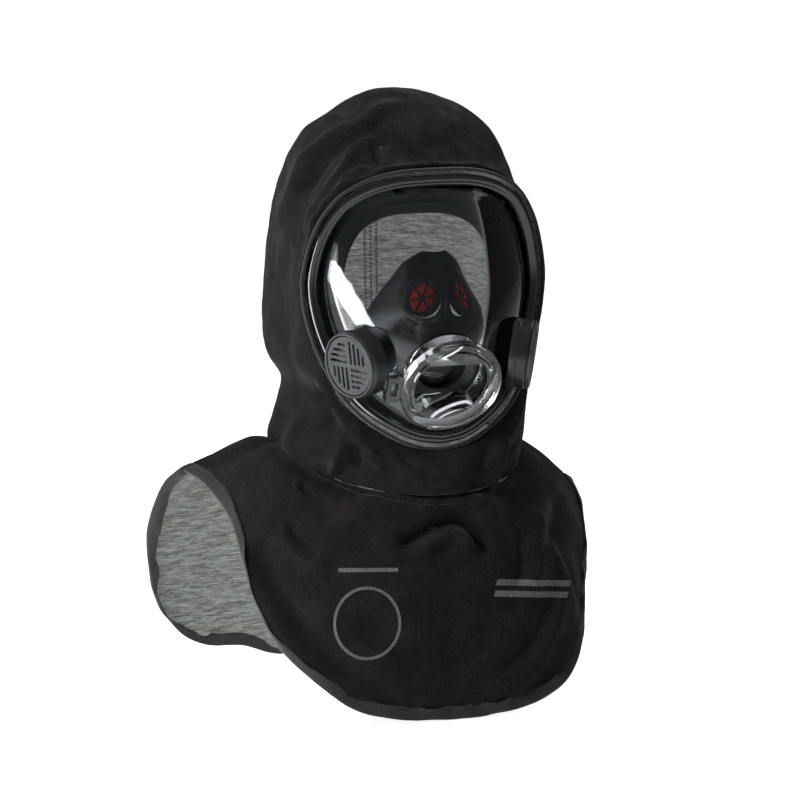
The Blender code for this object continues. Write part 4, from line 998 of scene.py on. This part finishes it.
def ring_at(offset, forward=0.0):
    return np.array([(x + nx * offset, rim_y(z) + forward, z + nz * offset)
                     for x, z, nx, nz in RING])


def smooth_dome(grid):
    """Ease a closed grid six times, holding its first and last rows."""
    for _ in range(6):
        eased = grid.copy()
        eased[1:-1] = 0.5 * grid[1:-1] + 0.25 * (grid[:-2] + grid[2:])
        eased = 0.5 * eased + 0.25 * (np.roll(eased, 1, 1) + np.roll(eased, -1, 1))
        eased[0], eased[-1] = grid[0], grid[-1]
        grid = eased
    return grid


def visor():
    """Clear dome with a flat flange; returns its front grid."""
    rows = []
    for s in np.linspace(0.03, 1.0, 44):
        row = []
        for x, z, nx, nz in RING:
            inset = 0.0102 if z < 0.42 else 0.0116
            level = MID_Z + (z - nz * inset - MID_Z) * s
            across = (x - nx * inset) * s
            row.append((across, visor_y(across, level), level))
        rows.append(row)
    rows = np.array(rows)
    for k, (_, z, _, _) in enumerate(RING):
        rows[-1, k, 1] = min(rows[-1, k, 1], rim_y(z) - 0.0015)
    rows = np.concatenate([smooth_dome(rows), [ring_at(-0.0086)], [ring_at(-0.0040)]])
    n = normals_of(rows, True, FORWARD)
    n[-2:] = FORWARD
    back = rows - n * 0.0024
    size = len(rows) * RING_COUNT
    verts = np.concatenate([rows.reshape(-1, 3), back.reshape(-1, 3),
                            [rows[0].mean(0)], [back[0].mean(0)]])
    outer = grid_faces(len(rows), RING_COUNT, wrap=True)
    faces = np.stack([outer, outer[:, [0, 3, 2, 1]] + size], 1).reshape(-1, 4).tolist()
    last = size - RING_COUNT
    for j in range(RING_COUNT):
        k = (j + 1) % RING_COUNT
        faces.append((last + k, last + j, size + last + j, size + last + k))
        faces.append((j, k, 2 * size))
        faces.append((size + k, size + j, 2 * size + 1))
    mesh = carve(closed_mesh("visor_dome", verts, faces),
                 [port_cutter, relief_cutter] + voice_cutters)
    put("visor_dome", mesh, CLEAR, "facepiece", "visor_lens", sharp=35)
    return rows


visor_grid = visor()

# Section of the bezel: (outward from the outline, y from the rim)
BEZEL_SECTION = [
    (-9.0, -1.7), (-9.0, -5.0), (-8.7, -6.2), (-8.0, -7.0), (-7.0, -7.4), (-6.2, -7.5),
    (-5.8, -7.2), (-5.2, -7.2), (-4.8, -7.5), (-3.6, -7.7), (-2.4, -7.5), (-1.2, -6.8),
    (-0.4, -5.8), (0.0, -4.6), (0.0, -2.0), (-0.3, -1.7), (-0.3, -1.1), (0.0, -0.8),
    (0.0, 5.6), (-0.4, 6.8), (-1.4, 7.3), (-6.2, 7.3), (-7.0, 6.8), (-7.0, 5.7),
    (-3.4, 5.6), (-3.4, -1.7)]
BEZEL_SPLIT_Z = 0.2785


def bezel(word, first, last, cutters):
    """Bezel moulding over the outline points from first to last."""
    rings = []
    for k in range(first, last + 1):
        x, z, nx, nz = RING[k % RING_COUNT]
        rings.append([(x + nx * a, rim_y(z) + b, z + nz * a) for a, b in metres(BEZEL_SECTION)])
    name = "bezel_frame_" + word
    put(name, carve(tube_mesh(name, rings, False), cutters), BEZEL, "facepiece",
        "bezel_" + word, sharp=50)


split = min(range(RING_COUNT // 2), key=lambda k: abs(RING[k][1] - BEZEL_SPLIT_Z))
bezel("upper", RING_COUNT - split + 1, RING_COUNT + split - 1, voice_cutters)
bezel("lower", split + 1, RING_COUNT - split - 1, [relief_cutter] + voice_cutters)


def seal_skirt():
    """Soft skirt from behind the rim to a narrower lip with a curled edge."""
    lip = []
    for x, z, _, _ in RING:
        lip_z, rim_z = (0.405, OUTLINE_TOP) if z > MID_Z else (0.250, OUTLINE_BOTTOM)
        f = abs(z - MID_Z) / abs(rim_z - MID_Z)
        lip.append((x * 0.665, -0.047 + 0.006 * f,
                    MID_Z + (z - MID_Z) * ((lip_z - MID_Z) / (rim_z - MID_Z))))
    lip = np.array(lip)
    root = ring_at(-0.0088, 0.0029)
    middle = (root + lip) / 2 + np.array([0, 0.004, 0])
    curl = lip + (lip - middle) * 0.05 + np.array([0, 0.0035, 0])
    rows = np.concatenate([[ring_at(-0.0040, 0.0029)], spread([root, middle, lip, curl], 40)])
    n = normals_of(rows, True, FORWARD)
    n[:2] = FORWARD
    rib = 0.0009 * bell(np.linspace(0, 1, len(rows)), 0.45, 0.025)[:, None, None]
    put("seal_skirt", shell_mesh("seal_skirt", rows + n * rib, rows - n * 0.0022, True), SKIRT,
        "facepiece", "face_seal")


seal_skirt()

# Nose cup by level: (z, half width), (z, y of the ridge), (z, y of the side edges)
CUP_HALF = [(254, 10), (262, 34), (275, 47), (300, 55), (326, 50), (340, 42), (351, 34),
            (368, 24), (378, 12), (382, 3)]
CUP_RIDGE = [(254, -72), (270, -84), (286, -93), (305, -100), (325, -105), (343, -107),
             (357, -103), (370, -96), (382, -87)]
CUP_EDGE = [(254, -66), (270, -58), (300, -54), (340, -57), (368, -70), (382, -82)]
CUP_LEVELS = (254, 262, 274, 290, 308, 326, 343, 357, 369, 379)


def cup_point(u, z):
    """Point of the cup at level z (mm); u runs from -1 to 1 across it."""
    ridge = table(CUP_RIDGE, z)
    drop = 1 - (1 - abs(u) ** 1.75) ** 0.80
    return (u * table(CUP_HALF, z) / 1000, (ridge + (table(CUP_EDGE, z) - ridge) * drop) / 1000,
            z / 1000)


def nose_cup():
    cup = refine([[cup_point(-1 + 2 * k / 36, z) for k in range(37)] for z in CUP_LEVELS],
                 110, 120)
    n = normals_of(cup, False, FORWARD)
    x, z = cup[..., 0], cup[..., 2]
    raised = np.zeros(cup.shape[:2])
    # a ring round each valve
    for _, side in SIDES:
        normal = np.array(on_side(VALVE_NORMAL, side))
        gap = cup - np.array(on_side(VALVE_CENTRE, side))
        axial = gap @ normal
        radius = np.linalg.norm(gap - axial[..., None] * normal, axis=-1)
        raised += 0.0011 * bell(radius, 0.0185, 0.0022) * (axial > -0.02)
    # raised line over the nose and soft cheeks
    raised += (0.0010 * bell(x, 0, 0.0024)
               * smoothstep(0.300, 0.32, z) * smoothstep(0.376, 0.36, z))
    raised += 0.0022 * bell(np.abs(x), 0.036, 0.009) * bell(z, 0.305, 0.016)
    raised -= 0.0014 * bell(np.abs(x), 0.026, 0.004) * bell(z, 0.318, 0.014)
    cup = cup + n * raised[..., None]
    mesh = carve(shell_mesh("nose_cup_rubber", cup, cup - n * 0.0022, False), cup_cutters)
    put("nose_cup_rubber", mesh, RUBBER, "facepiece", "nose_cup", sharp=50)


nose_cup()

# Turned profiles: (radius, height) along the part's own axis
SEAT_RING = [(11.6, 0.1), (11.6, 1.2), (12.2, 2.0), (13.6, 2.4), (14.7, 1.8), (15.0, 0.6),
             (15.0, -0.2), (12.2, -0.3)]
SEAT_HUB = [(0.4, 1.6), (1.8, 1.4), (2.6, 0.6), (2.6, -0.2), (0.4, -0.2)]
FLAP = [(0.4, -0.45), (6.0, -0.40), (9.8, -0.48), (11.3, -0.62), (11.3, -1.0), (9.8, -1.1),
        (0.4, -1.1)]
VOICE_BODY = [(28.5, -4.2), (28.3, -3.2), (27.6, -2.4), (26.8, -2.0), (25.2, -2.0),
              (25.2, -6.4), (20.0, -6.4), (20.0, -15.0), (10.0, -15.0), (10.0, -18.0),
              (26.5, -18.0), (27.8, -17.2), (28.5, -16.0), (28.5, -12.4), (28.2, -12.0),
              (28.2, -11.2), (28.5, -10.8), (28.5, -7.6)]
VOICE_RIM = [(27.6, -1.6), (27.6, 0.2), (27.4, 1.2), (26.9, 1.8), (26.2, 2.1), (25.6, 1.9),
             (25.2, 1.2), (25.2, -1.6)]
PORT_PROFILE = [(43.0, -6.0), (43.0, -1.6), (42.7, -0.7), (42.0, -0.1), (41.2, 0.0),
                (39.2, 0.0), (38.4, -0.3), (37.8, -1.3), (36.6, -1.5), (35.6, -1.4),
                (34.9, -0.6), (34.3, 0.0), (33.4, 0.1), (32.6, -0.2), (32.0, -0.8),
                (31.8, -1.6), (31.8, -12.0), (31.8, -24.0), (35.8, -24.0), (35.8, -7.8),
                (41.2, -7.4), (42.6, -6.9)]
PORT_BORE = 0.0318
PORT_FLAT_WITHIN = 0.033    # the profile is flattened inside this radius


def valve(word, basis):
    """Seat of ring, hub and six spokes, with a flap behind it."""
    bm = bmesh.new()
    bm.from_mesh(turned_mesh("tmp", SEAT_RING, Matrix.Identity(4), 64))
    bm.from_mesh(turned_mesh("tmp", SEAT_HUB, Matrix.Identity(4), 32))
    spoke = (Matrix.Translation((0.0070, 0, 0.0005))
             @ Matrix.Diagonal((0.0100, 0.0016, 0.0012, 1)))
    for k in range(6):
        turn = Matrix.Rotation(math.pi * k / 3 + 0.25, 4, 'Z')
        bmesh.ops.create_cube(bm, size=1.0, matrix=turn @ spoke)
    bmesh.ops.recalc_face_normals(bm, faces=bm.faces[:])
    mesh = bpy.data.meshes.new("valve_seat_" + word)
    bm.to_mesh(mesh)
    bm.free()
    mesh.transform(basis)
    mesh.update()
    bevel(put("valve_seat_" + word, mesh, HOUSE, "facepiece", "inhale_valve_seat_" + word,
              sharp=40), 0.00025)
    # the flap passes through a bmesh, which keeps its geometry alone
    bm = bmesh.new()
    bm.from_mesh(turned_mesh("tmp", FLAP, Matrix.Identity(4), 48))
    bmesh.ops.recalc_face_normals(bm, faces=bm.faces[:])
    mesh = bpy.data.meshes.new("valve_flap_" + word)
    bm.to_mesh(mesh)
    bm.free()
    mesh.transform(basis)
    mesh.update()
    put("valve_flap_" + word, mesh, RED, "valve_" + word, "inhale_valve_disc_" + word,
        sharp=40)


def grille_slots():
    """Cutter of four slots in each quarter, upright and level by turns."""
    width, first, pitch, inner, reach = 0.0024, 0.0032, 0.0047, 0.0016, 0.0212
    bm = bmesh.new()
    for qx in (-1, 1):
        for qy in (-1, 1):
            for i in range(4):
                offset = first + pitch * i
                outer = math.sqrt(reach ** 2 - (offset + width / 2) ** 2)
                middle, length = (inner + outer) / 2, outer - inner
                if qx * qy > 0:
                    place, size = (qx * offset, qy * middle, 0), (width, length, 0.010, 1.0)
                else:
                    place, size = (qx * middle, qy * offset, 0), (length, width, 0.010, 1.0)
                bmesh.ops.create_cube(
                    bm, size=1.0, matrix=Matrix.Translation(place) @ Matrix.Diagonal(size))
    mesh = bpy.data.meshes.new("tool_slots")
    bm.to_mesh(mesh)
    bm.free()
    return link("tool_slots", mesh)


def voice_unit(word, basis):
    """Turned body and ring with a slotted plate between them."""
    name = "voice_body_" + word
    put(name, turned_mesh(name, VOICE_BODY, basis, 96), HOUSE, "facepiece",
        "voice_housing_" + word, sharp=35)
    name = "voice_ring_" + word
    put(name, turned_mesh(name, VOICE_RIM, basis, 96), GRILLE, "facepiece",
        "voice_rim_" + word, sharp=50)
    plate = cylinder("tool_plate", 0.0244, -0.0012, 0.0010, Matrix.Identity(4), 96)
    slots = grille_slots()
    mesh = carve(plate.data, [slots])
    mesh.transform(basis)
    for tool in (slots, plate):
        bpy.data.objects.remove(tool, do_unlink=True)
    bevel(put("voice_weave_" + word, mesh, GRILLE, "facepiece", "voice_grille_" + word,
              sharp=30), 0.00035, angle=40)


def port_ring():
    """Clear ring with a round outside and two flats in its bore."""
    segments = 120
    rings = []
    for k in range(segments):
        angle = 2 * math.pi * k / segments
        ring = []
        for r, height in metres(PORT_PROFILE):
            x, y = r * math.cos(angle), r * math.sin(angle)
            limit = PORT_FLAT + (r - PORT_BORE)
            if r < PORT_FLAT_WITHIN and abs(y) > limit:
                x *= 0.5 + 0.5 * limit / abs(y)
                y = math.copysign(limit, y)
            ring.append((x, y, height))
        rings.append(ring)
    mesh = tube_mesh("port_ring_clear", rings, True)
    mesh.transform(PORT)
    put("port_ring_clear", mesh, BLOCK, "facepiece", "regulator_port_ring", sharp=35)


for word, basis in VALVE_FRAMES.items():
    valve(word, basis)
for word, basis in VOICE_FRAMES.items():
    voice_unit(word, basis)
port_ring()


# ------------------------------------------------------------- parts kept from the frame
def kept(name, finish, width=0.0003):
    """Give a frame part a finish and, where width is set, rounded edges."""
    part = NODES[name]
    part.data.materials.clear()
    part.data.materials.append(finish)
    for poly in part.data.polygons:
        poly.material_index = 0
    if width:
        bevel(part, width)


kept("regulator_catch", BLOCK, 0.0005)
kept("port_gasket", RUBBER)
kept("nose_cup_retainer", HOUSE)
for word, _ in SIDES:
    for part, finish in (("voice_gasket", RUBBER), ("voice_diaphragm", FILM),
                         ("inhale_valve_rim", RUBBER), ("bezel_screw", STEEL),
                         ("bezel_nut", STEEL), ("strap_buckle", STEEL),
                         ("buckle_lever", STEEL), ("seal_tab", RUBBER)):
        kept(f"{part}_{word}", finish)
    kept("buckle_pin_" + word, STEEL, 0.0001)


# ------------------------------------------------------------- straps and pads
def strap(part, word, side, path, width):
    """Flat strap with rounded edges; every other ring is thinner, for fine teeth."""
    count = 60
    thickness = 0.0018
    line = resample([(side * x, y, z) for x, y, z in path], count)
    line = np.array([tuple(p) for p in line]) / 1000
    up = np.array([0, 0, 1.0])
    rings = []
    for k, point in enumerate(line):
        run = unit(line[min(k + 1, count)] - line[max(k - 1, 0)])
        across = unit(up - run * (up @ run))
        n = np.cross(run, across)
        a, b = width / 2, thickness / 2 * (1.0 if k % 2 else 0.8)
        angles = [2 * math.pi * q / 20 for q in range(20)]
        rings.append([point + across * a * signed_power(math.cos(t), 0.35)
                      + n * b * signed_power(math.sin(t), 0.5) for t in angles])
    name = f"{part}_band_{word}"
    put(name, tube_mesh(name, rings, False), STRAP, "facepiece", f"{part}_strap_{word}",
        sharp=50)


def pad(part, half_width, low, high, y, bow):
    """Curved cushion with level ribs; sizes in mm."""
    columns, rows = 40, 30
    xs = np.linspace(-half_width, half_width, columns)
    grid = np.array([[(x / 1000, (y - (x / 60) ** 2 * bow) / 1000, z / 1000) for x in xs]
                     for z in np.linspace(low, high, rows)])
    n = np.zeros_like(grid)
    n[..., 0] = xs[None, :] / 170
    n[..., 1] = 1
    n = unit(n)

    def from_ends(count):
        return np.minimum(np.linspace(0, 1, count), np.linspace(1, 0, count))

    inset = np.minimum(from_ends(columns)[None, :] * (2 * half_width),
                       from_ends(rows)[:, None] * (high - low))
    thick = 0.0015 * np.clip(inset / 2.0, 0.25, 1) ** 0.5
    thick = thick + 0.00025 * np.sin(np.arange(rows) * 1.3)[:, None] * np.clip(inset / 5.0, 0, 1)
    offset = n * thick[..., None]
    put(part + "_cushion", shell_mesh(part + "_pad_m", grid + offset, grid - offset, False),
        STRAP, "facepiece", part + "_pad", sharp=50)


# Strap paths on the +X side: (x, y, z)
TEMPLE_PATH = [(80, -43, 400), (82, -10, 402), (76, 35, 405), (55, 74, 409), (31, 90, 412)]
NECK_PATH = [(62, -20, 264), (63, 0, 262), (56, 40, 262), (38, 70, 262), (21, 80, 262)]
for word, side in SIDES:
    strap("temple", word, side, TEMPLE_PATH, width=0.018)
    strap("neck", word, side, NECK_PATH, width=0.016)
pad("crown", half_width=29, low=392, high=430, y=92, bow=6)
pad("nape", half_width=19, low=249, high=275, y=81, bow=4)

for tool in voice_cutters + [port_cutter, relief_cutter] + cup_cutters:
    bpy.data.objects.remove(tool, do_unlink=True)

# ------------------------------------------------------------- seams
SEAM_ROW = 36
for name, top, normals in (("neck_seam_stitches", front_top, front_normals),
                           ("nape_seam_stitches", back_top, back_normals)):
    path, path_normals = top[SEAM_ROW][4:-4], normals[SEAM_ROW][4:-4]
    stitches(name, path + path_normals * 0.0003, path_normals)
OPENING_ROW = 3
stitches("opening_stitches", *(np.concatenate([grid[OPENING_ROW], grid[OPENING_ROW][:1]])
                               for grid in (hood_top, hood_normals)))
# three rows on the lining down the back of the head
for tag, column, lean in (("a", 6, -0.5), ("b", 8, 0.5), ("c", 10, -0.5)):
    inward = hood_in[:, column]
    path = hood_inner[:, column] + inward * 0.0012
    stitches("lining_seam_" + tag, path[60:150], inward[60:150], pitch=0.0034, length=0.0026,
             radius=0.00085, lean=lean)


# ------------------------------------------------------------- prints
def tree_of(grid, wrap):
    rows, columns, _ = grid.shape
    return BVHTree.FromPolygons([tuple(v) for v in grid.reshape(-1, 3)],
                                grid_faces(rows, columns, wrap).tolist())


def cast(tree, place):
    """Point and camera-side normal where the line of sight at (right, up) meets a tree."""
    right, up = np.asarray(place) / 1000.0
    start = Vector(VIEW_RIGHT * right + VIEW_UP * up + TO_CAMERA * 1.0)
    hit, n, _, _ = tree.ray_cast(start, Vector(-TO_CAMERA))
    if hit is None:
        return None
    return hit, n if n.dot(Vector(TO_CAMERA)) > 0 else -n


def cast_rows(tree, rows):
    """Rows of hits, or None where any line of sight misses."""
    hits = [[cast(tree, place) for place in row] for row in rows]
    return None if any(hit is None for row in hits for hit in row) else hits


def quad_rows(corners, across, down):
    """Rows of places over a four-cornered area, its corners given in order round it."""
    a, b, c, d = np.array(corners)
    return [[(a * (1 - g) + b * g) * (1 - f) + (d * (1 - g) + c * g) * f
             for g in np.arange(across + 1) / across]
            for f in np.arange(down + 1) / down]


BIB_TREE = tree_of(front_top, False)


def print_on_bib(name, rows, wrap=False):
    """Thin patch laid on the front bib; left out if any of it would miss the cloth."""
    hits = cast_rows(BIB_TREE, rows)
    if hits is None:
        return
    top, low = (np.array([[tuple(hit + n * lift) for hit, n in row] for row in hits])
                for lift in (0.0003, 0.00005))
    put(name, shell_mesh(name, top, low, wrap), PRINT, "hood")


# Places in the view plane: (right, up)
RING_CENTRE = (-26.56, 57.685)
RING_RADII = (27.39, 29.88)
RING_SQUASH = 0.92
ring_angles = [2 * math.pi * k / 72 for k in range(72)]
print_on_bib("print_ring_outer",
             [[(RING_CENTRE[0] + r * RING_SQUASH * math.cos(a),
                RING_CENTRE[1] - r * math.sin(a)) for a in ring_angles] for r in RING_RADII],
             wrap=True)
for name, corners, across, down in (
        ("print_bar_0",
         [(-49.8, 102.505), (-1.66, 102.505), (-1.66, 99.185), (-49.8, 99.185)], 24, 2),
        ("print_bar_side_a",
         [(79.68, 92.545), (141.1, 90.055), (139.44, 85.075), (78.02, 87.565)], 28, 3),
        ("print_bar_side_b",
         [(78.02, 83.415), (138.61, 80.925), (136.95, 75.945), (76.36, 78.435)], 28, 3)):
    print_on_bib(name, quad_rows(corners, across, down))

# any part still shown without one of these finishes is made rubber
FINISHES = (BLOCK, BEZEL, RUBBER, HOUSE, GRILLE, RED, FILM, STEEL, STRAP)
for name, part in NODES.items():
    if not part.hide_render and part.type == 'MESH':
        worn = [finish for finish in part.data.materials if finish]
        if not worn or worn[0] not in FINISHES:
            kept(name, RUBBER, 0.0)


# ------------------------------------------------------------- stage
def pale(tree):
    """Near-white floor, brightened for camera rays alone."""
    mottle = noise_map(tree, coords(tree), scale=3.0)
    floor_shader = principled(tree, {
        'Base Color': ramp(tree, mottle, (0.3, 0.88), (0.7, 0.92)),
        'Roughness': 0.9, 'Specular IOR Level': 0.1})
    seen = node(tree, 'ShaderNodeLightPath').outputs['Is Camera Ray']
    lit = node(tree, 'ShaderNodeEmission', {'Strength': maths(tree, 'MULTIPLY', seen, 0.86)})
    return node(tree, 'ShaderNodeAddShader', {0: floor_shader.outputs[0], 1: lit.outputs[0]})


FLOOR_Z = -0.0005
floor_mesh = mesh_from("floor", [(-9, -9, FLOOR_Z), (9, -9, FLOOR_Z), (9, 12, FLOOR_Z),
                                 (-9, 12, FLOOR_Z)], [(0, 1, 2, 3)])
floor_mesh.materials.append(material("pale_floor", pale))
link("floor", floor_mesh)

# white world, dimmer in reflections
world = bpy.data.worlds.new("studio")
bpy.context.scene.world = world
world.use_nodes = True
background = world.node_tree.nodes["Background"]
glossy_ray = node(world.node_tree, 'ShaderNodeLightPath').outputs['Is Glossy Ray']
# inputs 0, 2 and 3 are the factor and the two float values
level = node(world.node_tree, 'ShaderNodeMix', {0: glossy_ray, 2: 0.17, 3: 0.12},
             data_type='FLOAT')
world.node_tree.links.new(level.outputs[0], background.inputs['Strength'])
background.inputs['Color'].default_value = rgba(1.0)
bpy.context.scene.view_settings.view_transform = 'Standard'
bpy.context.scene.view_settings.look = 'None'


def area_light(name, at, look, size, power):
    light = bpy.data.lights.new(name, 'AREA')
    light.energy = power
    light.color = (1, 1, 1)
    light.shape = 'RECTANGLE'
    light.size = size
    light.size_y = size
    lamp = link(name, light)
    lamp.location = Vector(at) + SHIFT
    lamp.rotation_euler = (Vector(look) - Vector(at)).to_track_quat('-Z', 'Y').to_euler()
    lamp.visible_camera = False
    lamp.visible_glossy = False


area_light("key", at=(-1.75, -0.65, 1.35), look=(0, 0, 0.3), size=0.42, power=56)
area_light("fill", at=(1.6, -1.0, 1.0), look=(0, 0, 0.25), size=0.6, power=6)
area_light("top", at=(0.15, -0.1, 1.9), look=(0, 0, 0.3), size=0.5, power=14)
area_light("inside", at=(0.0, -0.030, 0.345), look=(0.02, 0.14, 0.36), size=0.09, power=0.40)
area_light("inside_bib", at=(-0.05, -0.06, 0.06), look=(-0.10, 0.12, 0.10), size=0.10,
           power=0.40)


def glowing(tree, colour, strength, scale, dimmest):
    mottle = noise_map(tree, coords(tree), scale=scale, detail=2.0)
    shade = ramp(tree, mottle, (0.3, dimmest), (0.7, 1.0))
    return node(tree, 'ShaderNodeEmission',
                {'Color': rgba(colour), 'Strength': maths(tree, 'MULTIPLY', shade, strength)})


def glow(name, rows, **settings):
    """Glowing sheet through rows of points, seen in glossy reflections alone."""
    mesh = mesh_from(name, [p for row in rows for p in row], grid_faces(len(rows), len(rows[0])))
    mesh.materials.append(material(name + "_glow", glowing, **settings))
    sheet = link(name, mesh)
    sheet.visible_camera = False
    sheet.visible_diffuse = False
    sheet.visible_transmission = False
    sheet.visible_volume_scatter = False
    sheet.visible_shadow = False


VISOR_TREE = tree_of(visor_grid, True)


def strip(name, corners, strength, colour, reach, across=4):
    """Sheet set where the dome mirrors it over an area of the view plane (right, up)."""
    hits = cast_rows(VISOR_TREE, quad_rows(corners, across, 14))
    # left out if the area runs off the dome
    if hits is None:
        return
    ray = Vector(-TO_CAMERA)
    rows = [[hit + (ray - 2 * ray.dot(n) * n) * reach + SHIFT for hit, n in row] for row in hits]
    glow(name, rows, colour=colour, strength=strength, scale=4.0, dimmest=0.92)


def panel(name, at, look, width, height, strength):
    z = (Vector(look) - Vector(at)).normalized()
    x = z.cross(Vector((0, 0, 1))).normalized()
    y = x.cross(z)
    centre = Vector(at) + SHIFT
    rows = [[centre + x * (a * width / 2) + y * (b * height / 2) for a in (-1, 0, 1)]
            for b in (-1, 0, 1)]
    glow(name, rows, colour=1.0, strength=strength, scale=5.0, dimmest=0.75)


COOL = (0.92, 0.95, 1.0)
strip("strip_left", [(-63.08, 341.545), (-58.93, 363.125), (3.32, 258.545), (-5.81, 253.565)],
      strength=14.0, colour=COOL, reach=0.45)
strip("strip_thin", [(-35.69, 408.775), (-34.03, 408.775), (-9.96, 326.605), (-11.62, 325.775)],
      strength=3.5, colour=COOL, reach=0.5, across=2)
strip("strip_right", [(104.58, 331.585), (107.07, 334.905), (106.24, 303.365), (98.77, 300.875)],
      strength=10.0, colour=1.0, reach=0.45)
panel("panel_left", at=(-1.05, 0.12, 0.46), look=(-0.08, -0.06, 0.33), width=0.30, height=0.75,
      strength=2.2)
panel("panel_right", at=(0.85, 0.28, 0.80), look=(0.05, -0.06, 0.40), width=0.22, height=0.30,
      strength=4.0)

# ------------------------------------------------------------- camera
VIEW_SPAN = 0.664           # width of the view at the aim point
AIM_HEIGHT = 0.2422
camera_data = bpy.data.cameras.new("camera")
camera_data.sensor_width = 36
camera_data.lens = 250
camera_data.clip_end = 60
camera = link("camera", camera_data)
distance = VIEW_SPAN * camera_data.lens / camera_data.sensor_width
eye = Vector((0, 0, AIM_HEIGHT)) + SHIFT + Vector(TO_CAMERA) * distance
view_axes = Matrix((Vector(VIEW_RIGHT), Vector(VIEW_UP), Vector(TO_CAMERA))).transposed()
camera.matrix_world = Matrix.Translation(eye) @ view_axes.to_4x4()
bpy.context.scene.camera = camera
bpy.context.view_layer.update()
